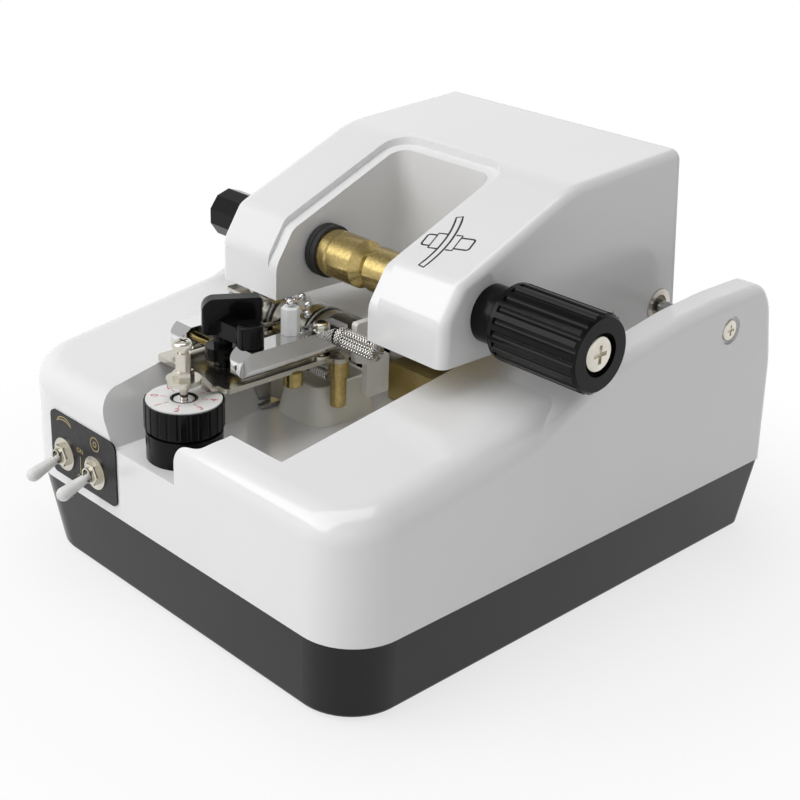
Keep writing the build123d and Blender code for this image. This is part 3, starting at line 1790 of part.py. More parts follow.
def clamp_rod():
    return rod_x(chuck_y, chuck_z, brass_bore_x + seat_gap, clamp_rod_end_x, spindle_radius)


def clamp_knob():
    grip_x = clamp_knob_x + knob_shoulder
    knob = rod_x(chuck_y, chuck_z, clamp_knob_x, clamp_knob_end_x, clamp_knob_radius)
    knob = chamfer(knob.edges().filter_by(GeomType.CIRCLE), knob_edge)
    reach = clamp_knob_radius + flute_radius - flute_depth
    length = clamp_knob_end_x - grip_x + overrun
    for i in range(clamp_knob_flutes):
        turn = Rot(360 / clamp_knob_flutes * i, 0, 0)
        flute = Pos(grip_x + length / 2, 0, reach) * Rot(0, 90, 0) * Cylinder(flute_radius, length)
        knob -= Pos(0, chuck_y, chuck_z) * turn * flute
    recess_x = clamp_knob_end_x - knob_recess_depth
    knob -= rod_x(chuck_y, chuck_z, recess_x, clamp_knob_end_x + overrun, knob_recess_radius)
    return knob - rod_x(chuck_y, chuck_z, clamp_knob_x - overrun, recess_x, spindle_radius + run_fit / 2)


def knob_screw():
    head_x = clamp_knob_end_x - knob_recess_depth
    screw = pan_screw(knob_screw_radius, knob_screw_height, screw_shank, run_fit)
    return Pos(head_x, chuck_y, chuck_z) * Rot(0, 90, 0) * screw


solids = {
    "base_tub": base_tub,
    "rubber_feet": rubber_feet,
    "tub_screws": tub_screws,
    "upper_casing": upper_casing,
    "chassis_frame": chassis_frame,
    "wheel_motor": wheel_motor,
    "wheel_motor_pulley": wheel_motor_pulley,
    "drive_belt": drive_belt,
    "transformer": transformer,
    "power_inlet": power_inlet,
    "fuse_holder": fuse_holder,
    "switch_plate": switch_plate,
    "switch_bodies": switch_bodies,
    "switch_nuts": switch_nuts,
    "lens_toggle": lambda: toggle(*switch_places[0]),
    "wheel_toggle": lambda: toggle(*switch_places[1]),
    "dial_sleeve": dial_sleeve,
    "dial_knob": dial_knob,
    "dial_face": dial_face,
    "lift_post": lift_post,
    "mechanism_plate": mechanism_plate,
    "plate_post": plate_post,
    "depth_screw": depth_screw,
    "depth_nuts": depth_nuts,
    "right_guide_bar": right_guide_bar,
    "left_guide_bar": left_guide_bar,
    "bar_screws": bar_screws,
    "chain_anchor": chain_anchor,
    "bead_chain": bead_chain,
    "selector_pin": selector_pin,
    "knurled_screw": knurled_screw,
    "wing_lever": wing_lever,
    "brass_posts": brass_posts,
    "nylon_guide": nylon_guide,
    "guide_spring": guide_spring,
    "lens_rest": lens_rest,
    "grooving_wheel": grooving_wheel,
    "wheel_spindle": wheel_spindle,
    "spindle_cartridge": spindle_cartridge,
    "water_cup": water_cup,
    "head_shell": head_shell,
    "head_rear_cover": head_rear_cover,
    "cover_screws": cover_screws,
    "head_frame": head_frame,
    "pivot_collars": pivot_collars,
    "pivot_rod": pivot_rod,
    "ear_screws": ear_screws,
    "lens_motor": lens_motor,
    "lens_motor_pulley": lens_motor_pulley,
    "lens_belt": lens_belt,
    "spindle_bushings": spindle_bushings,
    "clamp_bushing": clamp_bushing,
    "left_spindle": left_spindle,
    "left_knob": left_knob,
    "left_pad": left_pad,
    "right_pad": right_pad,
    "brass_chuck": brass_chuck,
    "clamp_rod": clamp_rod,
    "clamp_knob": clamp_knob,
    "knob_screw": knob_screw,
}


def write_parts():
    os.makedirs("parts", exist_ok=True)
    machine_mid_y = (rear_y + fuse_cap + toggle_front_y) / 2
    to_origin = Pos(-machine_mid_x, -machine_mid_y, 0)
    for name, make in solids.items():
        made = make()
        pieces = made if isinstance(made, list) else [made]
        shape = Compound(children=[to_origin * piece for piece in pieces])
        export_step(shape, "parts/" + name + ".step")


write_parts()
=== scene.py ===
import math
import bpy
from mathutils import Matrix, Vector


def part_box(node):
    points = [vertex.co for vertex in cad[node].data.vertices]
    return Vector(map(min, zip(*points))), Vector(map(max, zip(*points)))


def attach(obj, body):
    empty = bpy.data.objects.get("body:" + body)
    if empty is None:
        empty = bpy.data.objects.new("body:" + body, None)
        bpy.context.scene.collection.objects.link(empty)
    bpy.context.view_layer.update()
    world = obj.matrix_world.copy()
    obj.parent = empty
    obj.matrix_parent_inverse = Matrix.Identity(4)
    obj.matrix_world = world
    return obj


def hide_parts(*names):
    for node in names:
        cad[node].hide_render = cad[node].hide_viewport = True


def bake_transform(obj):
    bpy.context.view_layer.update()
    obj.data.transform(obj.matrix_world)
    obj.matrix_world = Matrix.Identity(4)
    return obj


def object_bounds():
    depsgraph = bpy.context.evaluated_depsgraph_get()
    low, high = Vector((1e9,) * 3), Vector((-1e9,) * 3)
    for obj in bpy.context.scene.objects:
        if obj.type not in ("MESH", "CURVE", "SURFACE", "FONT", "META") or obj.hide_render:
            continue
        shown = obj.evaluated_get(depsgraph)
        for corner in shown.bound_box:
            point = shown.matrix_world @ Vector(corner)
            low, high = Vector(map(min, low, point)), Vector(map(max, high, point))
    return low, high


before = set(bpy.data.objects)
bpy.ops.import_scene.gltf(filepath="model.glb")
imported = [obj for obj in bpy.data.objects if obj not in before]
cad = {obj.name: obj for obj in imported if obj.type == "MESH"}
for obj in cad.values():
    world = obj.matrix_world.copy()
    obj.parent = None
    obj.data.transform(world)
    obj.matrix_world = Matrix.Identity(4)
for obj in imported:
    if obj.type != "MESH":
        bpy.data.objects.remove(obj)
cad_low, cad_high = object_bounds()
mm = 0.001

# The camera's place is counted from the casing's middle
casing_low, casing_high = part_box("upper_casing")
casing_middle = (casing_low + casing_high) / 2


# Finishes


def new_finish(name, roughness, metallic=0.0):
    """A material with one shader, and the object's own coordinates for its patterns."""
    finish = bpy.data.materials.new(name)
    finish.use_nodes = True
    tree = finish.node_tree
    shader = tree.nodes["Principled BSDF"]
    shader.inputs["Roughness"].default_value = roughness
    shader.inputs["Metallic"].default_value = metallic
    place = tree.nodes.new("ShaderNodeTexCoord")
    return finish, tree, shader, place.outputs["Object"]


def calculated(tree, operation, *values):
    """One sum in a material, its inputs either numbers or other nodes' results."""
    node = tree.nodes.new("ShaderNodeMath")
    node.operation = operation
    for socket, value in zip(node.inputs, values):
        if isinstance(value, (int, float)):
            socket.default_value = value
        else:
            tree.links.new(value, socket)
    return node.outputs["Value"]


def stretched(tree, where, scale):
    """The coordinates scaled differently along each axis, for grain that runs one way."""
    mapping = tree.nodes.new("ShaderNodeMapping")
    mapping.inputs["Scale"].default_value = scale
    tree.links.new(where, mapping.inputs["Vector"])
    return mapping.outputs["Vector"]


def cloud(tree, where, grain, detail=3.0):
    """Soft noise, its grain in clouds to the metre."""
    noise = tree.nodes.new("ShaderNodeTexNoise")
    noise.inputs["Scale"].default_value = grain
    noise.inputs["Detail"].default_value = detail
    tree.links.new(where, noise.inputs["Vector"])
    return noise.outputs["Fac"]


def rings(tree, where, axis, pitch):
    """Turned rings across one axis, a pitch apart in millimetres."""
    # The wave texture multiplies its coordinate by this
    texture_factor = 20
    wave = tree.nodes.new("ShaderNodeTexWave")
    wave.wave_type = "BANDS"
    wave.bands_direction = axis
    wave.inputs["Scale"].default_value = 2 * math.pi / (texture_factor * pitch * mm)
    wave.inputs["Distortion"].default_value = 0.4
    wave.inputs["Detail"].default_value = 2.0
    wave.inputs["Detail Scale"].default_value = 0.3
    tree.links.new(where, wave.inputs["Vector"])
    return wave.outputs["Fac"]


def two_tones(tree, shader, amount, dark, pale, low=0.35, high=0.65):
    """Colour that wanders between two close tones."""
    ramp = tree.nodes.new("ShaderNodeValToRGB")
    for stop, position, tone in zip(ramp.color_ramp.elements, (low, high), (dark, pale)):
        stop.position = position
        stop.color = (*tone, 1)
    tree.links.new(amount, ramp.inputs["Fac"])
    tree.links.new(ramp.outputs["Color"], shader.inputs["Base Color"])
    return ramp.outputs["Color"]


def rough_between(tree, shader, amount, low, high):
    """Roughness that wanders between two limits."""
    spread = tree.nodes.new("ShaderNodeMapRange")
    spread.inputs["From Min"].default_value = 0.3
    spread.inputs["From Max"].default_value = 0.7
    spread.inputs["To Min"].default_value = low
    spread.inputs["To Max"].default_value = high
    tree.links.new(amount, spread.inputs["Value"])
    tree.links.new(spread.outputs["Result"], shader.inputs["Roughness"])


def relief(tree, shader, height, strength, depth):
    """Fine relief, its depth given in millimetres."""
    bump = tree.nodes.new("ShaderNodeBump")
    bump.inputs["Strength"].default_value = strength
    bump.inputs["Distance"].default_value = depth * mm
    tree.links.new(height, bump.inputs["Height"])
    tree.links.new(bump.outputs["Normal"], shader.inputs["Normal"])


def clouded(name, tones, tone_grain, rough, rough_grain, metallic=0.0):
    """The usual finish: two close tones, and a roughness that wanders."""
    finish, tree, shader, where = new_finish(name, sum(rough) / 2, metallic)
    two_tones(tree, shader, cloud(tree, where, tone_grain), *tones)
    rough_between(tree, shader, cloud(tree, where, rough_grain), *rough)
    return finish, tree, shader, where


brass_tones = ((0.44, 0.335, 0.125), (0.53, 0.415, 0.175))
chrome_tones = ((0.74, 0.745, 0.75), (0.8, 0.8, 0.8))


def white_lacquer():
    tones = ((0.82, 0.82, 0.822), (0.845, 0.844, 0.843))
    finish, tree, shader, where = clouded("white_lacquer", tones, 9, (0.1, 0.17), 30)
    relief(tree, shader, cloud(tree, where, 420, detail=2), strength=0.12, depth=0.06)
    shader.inputs["IOR"].default_value = 1.5
    shader.inputs["Coat Weight"].default_value = 0.3
    shader.inputs["Coat Roughness"].default_value = 0.06
    return finish


def charcoal_shell():
    tones = ((0.0085, 0.0085, 0.0093), (0.0115, 0.0115, 0.0123))
    finish, tree, shader, where = clouded("charcoal_shell", tones, 14, (0.14, 0.22), 60)
    relief(tree, shader, cloud(tree, where, 900), strength=0.12, depth=0.05)
    shader.inputs["IOR"].default_value = 1.3
    return finish


def black_moulding():
    tones = ((0.003, 0.003, 0.0033), (0.005, 0.005, 0.0053))
    finish, tree, shader, where = clouded("black_moulding", tones, 60, (0.1, 0.2), 260)
    relief(tree, shader, cloud(tree, where, 1400), strength=0.25, depth=0.04)
    shader.inputs["IOR"].default_value = 1.24
    return finish


def black_sheet():
    tones = ((0.006, 0.0055, 0.007), (0.011, 0.01, 0.012))
    finish, tree, shader, where = clouded("black_sheet", tones, 120, (0.28, 0.42), 500)
    relief(tree, shader, cloud(tree, where, 1800, detail=2), strength=0.2, depth=0.03)
    shader.inputs["IOR"].default_value = 1.4
    return finish


def soft_rubber(name, *tones):
    finish, tree, shader, where = clouded(name, tones, 200, (0.5, 0.7), 700)
    relief(tree, shader, cloud(tree, where, 2200), strength=0.35, depth=0.06)
    return finish


def bright_chrome(name, *tones):
    finish, tree, shader, where = clouded(name, tones, 60, (0.05, 0.1), 400, metallic=1)
    relief(tree, shader, cloud(tree, where, 500, detail=2), strength=0.06, depth=0.03)
    return finish


def chromed_bar(name, stud_edge, side):
    """Chrome, drawn along the bar, with the brass stud beyond one place across it."""
    finish, tree, shader, where = new_finish(name, 0.07, metallic=1)
    chrome = two_tones(tree, shader, cloud(tree, where, 60), *chrome_tones)
    brass = two_tones(tree, shader, cloud(tree, where, 700), *brass_tones)
    places = tree.nodes.new("ShaderNodeSeparateXYZ")
    tree.links.new(where, places.inputs["Vector"])
    both = tree.nodes.new("ShaderNodeMixRGB")
    tree.links.new(calculated(tree, side, places.outputs["X"], stud_edge * mm), both.inputs["Fac"])
    tree.links.new(chrome, both.inputs["Color1"])
    tree.links.new(brass, both.inputs["Color2"])
    tree.links.new(both.outputs["Color"], shader.inputs["Base Color"])
    drawn = stretched(tree, where, (900, 60, 900))
    rough_between(tree, shader, cloud(tree, drawn, 1), 0.045, 0.11)
    relief(tree, shader, cloud(tree, where, 500, detail=2), strength=0.06, depth=0.03)
    return finish


def nickel_plating():
    tones = ((0.56, 0.53, 0.46), (0.7, 0.67, 0.6))
    finish, tree, shader, where = clouded("nickel_plating", tones, 90, (0.13, 0.27), 300, metallic=1)
    relief(tree, shader, cloud(tree, where, 1500, detail=2), strength=0.12, depth=0.03)
    return finish


def rolled_nickel_sheet():
    finish, tree, shader, where = new_finish("rolled_nickel_sheet", 0.22, metallic=1)
    two_tones(tree, shader, cloud(tree, where, 70), (0.52, 0.5, 0.43), (0.61, 0.59, 0.52))
    rolled = stretched(tree, where, (1600, 90, 400))
    rough_between(tree, shader, cloud(tree, rolled, 1), 0.19, 0.25)
    return finish


def turned_steel():
    tones = ((0.5, 0.5, 0.5), (0.62, 0.62, 0.62))
    finish, tree, shader, where = clouded("turned_steel", tones, 150, (0.15, 0.3), 500, metallic=1)
    relief(tree, shader, rings(tree, where, "X", pitch=0.35), strength=0.12, depth=0.03)
    return finish


def turned_brass(axis):
    name = "turned_brass_" + axis.lower()
    finish, tree, shader, where = clouded(name, brass_tones, 700, (0.18, 0.28), 900, metallic=1)
    relief(tree, shader, rings(tree, where, axis, pitch=0.35), strength=0.16, depth=0.04)
    return finish


def passivated_sheet():
    tones = ((0.55, 0.42, 0.16), (0.66, 0.56, 0.3))
    finish, tree, shader, where = clouded("passivated_sheet", tones, 40, (0.26, 0.42), 200, metallic=1)
    relief(tree, shader, cloud(tree, where, 1200, detail=2), strength=0.15, depth=0.03)
    return finish


def zinc_can():
    tones = ((0.34, 0.35, 0.36), (0.46, 0.47, 0.48))
    finish, tree, shader, where = clouded("zinc_can", tones, 55, (0.28, 0.44), 240, metallic=1)
    relief(tree, shader, rings(tree, where, "X", pitch=0.5), strength=0.1, depth=0.04)
    return finish


def core_stack():
    """Thin varnished plates stacked on edge, with the wound coil between them."""
    finish, tree, shader, where = new_finish("core_stack", 0.5, metallic=0.4)
    layers = rings(tree, where, "Y", pitch=0.5)
    two_tones(tree, shader, layers, (0.06, 0.05, 0.045), (0.2, 0.18, 0.17))
    rough_between(tree, shader, cloud(tree, where, 300), 0.4, 0.6)
    relief(tree, shader, layers, strength=0.4, depth=0.15)
    return finish


def milky_nylon(name, *tones):
    finish, tree, shader, where = clouded(name, tones, 110, (0.3, 0.45), 350)
    relief(tree, shader, cloud(tree, where, 1100, detail=2), strength=0.15, depth=0.04)
    shader.inputs["Subsurface Weight"].default_value = 0.25
    shader.inputs["Subsurface Radius"].default_value = (4 * mm, 3.6 * mm, 3 * mm)
    shader.inputs["Subsurface Scale"].default_value = 0.6
    return finish


def white_sleeve():
    tones = ((0.74, 0.74, 0.72), (0.8, 0.8, 0.79))
    finish, tree, shader, where = clouded("white_sleeve", tones, 140, (0.24, 0.36), 300)
    relief(tree, shader, cloud(tree, where, 900, detail=2), strength=0.12, depth=0.04)
    return finish


def dial_card():
    tones = ((0.8, 0.8, 0.79), (0.84, 0.84, 0.83))
    finish, tree, shader, where = clouded("dial_card", tones, 180, (0.36, 0.48), 600)
    relief(tree, shader, cloud(tree, where, 2600, detail=2), strength=0.1, depth=0.02)
    return finish


def printed_ink(name, *tones):
    return clouded(name, tones, 700, (0.38, 0.52), 900)[0]


def diamond_rim():
    """Steel with a fine grit all over the wheel."""
    finish, tree, shader, where = new_finish("diamond_rim", 0.3, metallic=1)
    grit = cloud(tree, where, 5200, detail=2)
    two_tones(tree, shader, grit, (0.2, 0.2, 0.19), (0.62, 0.62, 0.6), low=0.42, high=0.58)
    rough_between(tree, shader, grit, 0.25, 0.6)
    relief(tree, shader, grit, strength=0.5, depth=0.08)
    return finish


def diamond_knurl(node):
    """Crossed grooves round a screw that lies along X, with painted shade in the grooves."""
    finish, tree, shader, where = new_finish("diamond_knurl", 0.2, metallic=1)
    low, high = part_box(node)
    centred = tree.nodes.new("ShaderNodeMapping")
    centred.inputs["Location"].default_value = (0, -(low.y + high.y) / 2, -(low.z + high.z) / 2)
    tree.links.new(where, centred.inputs["Vector"])
    places = tree.nodes.new("ShaderNodeSeparateXYZ")
    tree.links.new(centred.outputs["Vector"], places.inputs["Vector"])
    grooves = 18
    pitch = math.pi * (high.z - low.z) / grooves
    turn = calculated(tree, "ARCTAN2", places.outputs["Z"], places.outputs["Y"])
    swing = calculated(tree, "MULTIPLY", turn, grooves / 2)
    crossing = []
    for hand in (-1, 1):
        slope = calculated(tree, "MULTIPLY_ADD", places.outputs["X"], hand * math.pi / pitch, swing)
        crossing.append(calculated(tree, "ABSOLUTE", calculated(tree, "SINE", slope)))
    height = calculated(tree, "MINIMUM", *crossing)
    # The grooves are painted dark and the crests pale: painted shade in the grooves, laid over the bump
    # relief.
    two_tones(tree, shader, height, (0.1, 0.1, 0.095), (0.8, 0.79, 0.76), low=0.1, high=0.7)
    relief(tree, shader, height, strength=0.9, depth=0.25)
    return finish


def dress(finish, *names):
    """Gives one finish to some of the carried-over solids."""
    for name in names:
        slots = cad[name].data.materials
        slots.clear()
        slots.append(finish)


dress(white_lacquer(), "upper_casing", "head_shell", "head_rear_cover")
dress(charcoal_shell(), "base_tub")
dress(
    black_moulding(), "power_inlet", "fuse_holder", "dial_sleeve", "dial_knob", "spindle_bushings",
    "clamp_bushing", "left_knob", "clamp_knob", "wing_lever",
)
dress(black_sheet(), "switch_plate")
dress(soft_rubber("foot_rubber", (0.014, 0.014, 0.014), (0.024, 0.024, 0.023)), "rubber_feet")
dress(soft_rubber("pad_rubber", (0.01, 0.01, 0.01), (0.018, 0.018, 0.018)), "left_pad", "right_pad")
dress(soft_rubber("belt_rubber", (0.012, 0.012, 0.012), (0.02, 0.02, 0.02)), "drive_belt", "lens_belt")
dress(chromed_bar("right_bar_chrome", -17.75, "LESS_THAN"), "right_guide_bar")
dress(chromed_bar("left_bar_chrome", -43.15, "GREATER_THAN"), "left_guide_bar")
dress(
    nickel_plating(), "switch_bodies", "switch_nuts", "ear_screws", "pivot_collars", "knob_screw",
    "depth_screw", "depth_nuts", "bar_screws", "chain_anchor",
)
dress(rolled_nickel_sheet(), "mechanism_plate", "lens_rest")
dress(
    turned_steel(), "tub_screws", "pivot_rod", "plate_post", "cover_screws", "left_spindle",
    "lens_motor_pulley", "clamp_rod", "lift_post", "guide_spring", "wheel_spindle",
    "wheel_motor_pulley",
)
dress(turned_brass("X"), "brass_chuck", "spindle_cartridge")
dress(turned_brass("Z"), "brass_posts")
dress(passivated_sheet(), "chassis_frame", "head_frame")
dress(zinc_can(), "wheel_motor", "lens_motor")
dress(core_stack(), "transformer")
dress(milky_nylon("guide_nylon", (0.8, 0.8, 0.77), (0.85, 0.85, 0.82)), "nylon_guide")
dress(milky_nylon("cup_plastic", (0.83, 0.82, 0.74), (0.87, 0.86, 0.79)), "water_cup")
dress(milky_nylon("pin_nylon", (0.76, 0.77, 0.77), (0.84, 0.85, 0.85)), "selector_pin")
dress(white_sleeve(), "lens_toggle", "wheel_toggle")
dress(dial_card(), "dial_face")
dress(diamond_rim(), "grooving_wheel")
dress(diamond_knurl("knurled_screw"), "knurled_screw")


# Printed marks


def on_surface(middle, across, up):
    """The place of a flat drawing whose width runs across and whose top points up."""
    across = Vector(across).normalized()
    up = Vector(up).normalized()
    turn = Matrix((across, up, across.cross(up))).transposed()
    return Matrix.Translation(middle) @ turn.to_4x4()


def slope_point(node, x, y):
    """Where a plumb line through (x, y) meets a node's top, and the way that face looks."""
    _, place, normal, _ = cad[node].ray_cast(Vector((x, y, cad_high.z + 1)), Vector((0, 0, -1)))
    return place, normal


def settle(piece, finish, body):
    """Gives a piece its finish and the body that carries it."""
    piece.data.materials.clear()
    piece.data.materials.append(finish)
    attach(piece, body)


def flat_mesh(piece, place, flatness):
    """Turns a drawing into a mesh and sets its points where they belong."""
    bpy.ops.object.select_all(action="DESELECT")
    piece.select_set(True)
    bpy.context.view_layer.objects.active = piece
    bpy.ops.object.convert(target="MESH")
    piece.data.transform(place @ Matrix.Diagonal((1, 1, flatness, 1)))
    return piece


def ink_lines(name, lines, width, place):
    """Lines of print: round strokes pressed nearly flat on the surface."""
    flatness = 0.25
    drawing = bpy.data.curves.new(name, "CURVE")
    drawing.dimensions = "3D"
    drawing.bevel_depth = width / 2 * mm
    drawing.bevel_resolution = 1
    drawing.use_fill_caps = True
    for points, closed in lines:
        spline = drawing.splines.new("POLY")
        spline.points.add(len(points) - 1)
        spline.use_cyclic_u = closed
        for knot, (across, up) in zip(spline.points, points):
            knot.co = (across * mm, up * mm, 0, 1)
    piece = bpy.data.objects.new(name, drawing)
    bpy.context.scene.collection.objects.link(piece)
    return flat_mesh(piece, place, flatness)


def ink_text(name, words, height, place):
    """Plain figures or letters, their height in millimetres."""
    capital_share = 0.7
    thickness = 0.05
    bpy.ops.object.text_add()
    piece = bpy.context.active_object
    piece.name = name
    piece.data.body = words
    piece.data.size = height * mm / capital_share
    piece.data.extrude = thickness * mm
    piece.data.resolution_u = 3
    piece.data.align_x = "CENTER"
    piece.data.align_y = "CENTER"
    return flat_mesh(piece, place, 1.0)


def joined(name, pieces):
    bpy.ops.object.select_all(action="DESELECT")
    for piece in pieces:
        piece.select_set(True)
    bpy.context.view_layer.objects.active = pieces[0]
    bpy.ops.object.join()
    pieces[0].name = name
    return pieces[0]


def arc(middle, radius, start, end, steps):
    """Points along a round stretch, the angles in degrees."""
    turns = [math.radians(start + (end - start) * i / steps) for i in range(steps + 1)]
    return [(middle[0] + radius * math.cos(t), middle[1] + radius * math.sin(t)) for t in turns]


def dial_figures():
    """Red figures nought to seven, their tops to the middle, each with a short line inside."""
    low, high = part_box("dial_face")
    middle = Vector(((low.x + high.x) / 2, (low.y + high.y) / 2, high.z))
    face = on_surface(middle, (1, 0, 0), (0, 1, 0))
    figures = 8
    first_turn = 220
    figure_height = 3.0
    figure_radius = 11.3
    tick_start = 6.6
    tick_end = 9.0
    tick_width = 0.35
    marks = []
    ticks = []
    for figure in range(figures):
        turn = math.radians(first_turn + 360 / figures * figure)
        outward = Vector((math.cos(turn), math.sin(turn), 0))
        up = -outward
        seat = middle + outward * figure_radius * mm
        place = on_surface(seat, up.cross(Vector((0, 0, 1))), up)
        marks.append(ink_text("figure", str(figure), figure_height, place))
        ticks.append(([tuple(outward.xy * tick_start), tuple(outward.xy * tick_end)], False))
    marks.append(ink_lines("ticks", ticks, tick_width, face))
    settle(joined("dial_figures", marks), red_ink, "dial")


def switch_marks():
    """A lens and a wheel above the two toggles, with on and off between them."""
    low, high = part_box("switch_plate")
    left, right = [
        (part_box(name)[0].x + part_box(name)[1].x) / 2 / mm for name in ("lens_toggle", "wheel_toggle")
    ]
    signs_below_top = 4.9
    on_below_top = 11.6
    off_above_foot = 3.6
    sign_z = high.z / mm - signs_below_top
    on_z = high.z / mm - on_below_top
    off_z = low.z / mm + off_above_foot
    between = (left + right) / 2
    line_width = 0.45
    letter_height = 2.0
    dash_below_on = 2.4
    dash_above_off = 2.2
    lens_outer = {"middle": (left, sign_z - 6.4), "radius": 9.0, "start": 56, "end": 124, "steps": 10}
    lens_inner = {"middle": (left, sign_z - 2.6), "radius": 6.4, "start": 130, "end": 50, "steps": 8}
    wheel_rim = {"middle": (right, sign_z), "radius": 2.8, "start": 0, "end": 345, "steps": 23}
    wheel_hole = {"middle": (right, sign_z), "radius": 1.0, "start": 0, "end": 330, "steps": 11}
    dash = [(between, on_z - dash_below_on), (between, off_z + dash_above_off)]
    lines = [
        (arc(**lens_outer) + arc(**lens_inner), True),
        (arc(**wheel_rim), True),
        (arc(**wheel_hole), True),
        (dash, False),
    ]
    plate = on_surface(Vector((0, low.y, 0)), (1, 0, 0), (0, 0, 1))
    marks = [ink_lines("strokes", lines, line_width, plate)]
    for words, z in (("ON", on_z), ("OFF", off_z)):
        place = on_surface(Vector((between * mm, low.y, z * mm)), (1, 0, 0), (0, 0, 1))
        marks.append(ink_text(words.lower(), words, letter_height, place))
    settle(joined("switch_marks", marks), gold_ink, "base")


def clamp_sign():
    """A plain sign on the right arm: a lens seen edge on, held between two pads."""
    in_from_side = 23.5
    sign_y = -15.5
    leaning = 14
    line_width = 0.85
    bow = 46.0
    thick = 2.6
    half_turn = 19.0
    near = 1.9
    left_back = -5.6
    right_back = 4.6
    pad_half = 4.4
    stem_half = 3.2
    stem_end = 2.0
    rounding = 1.2
    left_stem_x = -8.2
    right_stem_x = 9.6
    outer = arc((-bow, 0), bow + thick / 2, -half_turn, half_turn, 14)
    inner = arc((-bow, 0), bow - thick / 2, half_turn, -half_turn, 14)
    left_pad = [(-near, pad_half), (left_back, pad_half), (left_back, -pad_half), (-near, -pad_half)]
    right_pad = [(near, pad_half), (right_back, pad_half), (right_back, -pad_half), (near, -pad_half)]
    left_stem = arc((left_stem_x, stem_end), rounding, 90, 180, 4)
    left_stem += arc((left_stem_x, -stem_end), rounding, 180, 270, 4)
    right_stem = arc((right_stem_x, -stem_end), rounding, -90, 0, 4)
    right_stem += arc((right_stem_x, stem_end), rounding, 0, 90, 4)
    lines = [
        (outer + inner, True),
        (left_pad, False),
        ([(left_back, stem_half)] + left_stem + [(left_back, -stem_half)], False),
        (right_pad, False),
        ([(right_back, -stem_half)] + right_stem + [(right_back, stem_half)], False),
    ]
    head_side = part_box("head_shell")[1].x
    place, normal = slope_point("head_shell", head_side - in_from_side * mm, sign_y * mm)
    slope = on_surface(place, (1, 0, 0), normal.cross(Vector((1, 0, 0))))
    turned = slope @ Matrix.Rotation(math.radians(leaning), 4, "Z")
    settle(ink_lines("clamp_sign", lines, line_width, turned), black_ink, "head")


red_ink = printed_ink("red_ink", (0.5, 0.05, 0.07), (0.6, 0.09, 0.11))
gold_ink = printed_ink("gold_ink", (0.42, 0.31, 0.13), (0.52, 0.4, 0.19))
black_ink = printed_ink("black_ink", (0.006, 0.006, 0.007), (0.012, 0.012, 0.013))
dial_figures()
switch_marks()
clamp_sign()


# The small chain, and the screws behind its pin


nearly_upright = 0.9
crease = math.radians(40)


def pick_faces(piece, wanted):
    """Goes into edit mode with only the wanted faces of a piece selected."""
    bpy.ops.object.mode_set(mode="EDIT")
    bpy.ops.mesh.select_mode(type="FACE")
    bpy.ops.mesh.select_all(action="DESELECT")
    bpy.ops.object.mode_set(mode="OBJECT")
    for face in piece.data.polygons:
        face.select = wanted(face)
    bpy.ops.object.mode_set(mode="EDIT")


def own_copy(piece, place):
    """A copy with its own mesh, moved and turned in that mesh."""
    twin = piece.copy()
    twin.data = piece.data.copy()
    twin.data.transform(place)
    bpy.context.scene.collection.objects.link(twin)
    return twin


def towards(way):
    """The turn that lays a piece's length along a way."""
    return way.to_track_quat("Z", "Y").to_matrix().to_4x4()


def chain_ball(radius, collar):
    """One ball, with a collar round the link at each end."""
    pole_share = 0.93
    bpy.ops.object.select_all(action="DESELECT")
    bpy.ops.mesh.primitive_uv_sphere_add(segments=20, ring_count=12, radius=radius * mm)
    ball = bpy.context.active_object
    pick_faces(ball, lambda face: abs(face.center.z) > pole_share * radius * mm)
    bpy.ops.mesh.extrude_region_shrink_fatten(TRANSFORM_OT_shrink_fatten={"value": collar * mm})
    bpy.ops.object.mode_set(mode="OBJECT")
    return ball


def chain_link(first, last, radius):
    """A pin between two balls, with chamfered ends."""
    way = last - first
    chamfer = radius / 4 * mm
    bpy.ops.object.select_all(action="DESELECT")
    bpy.ops.mesh.primitive_cylinder_add(vertices=12, radius=radius * mm, depth=way.length * mm)
    pin = bpy.context.active_object
    pick_faces(pin, faces_an_end)
    bpy.ops.mesh.inset(thickness=chamfer, depth=chamfer, use_individual=True)
    bpy.ops.object.mode_set(mode="OBJECT")
    pin.data.transform(Matrix.Translation((first + way / 2) * mm) @ towards(way))
    return pin


def faces_an_end(face):
    """Whether a face of an upright piece looks up or down."""
    return abs(face.normal.z) > nearly_upright


def faces_up(face):
    return face.normal.z > nearly_upright


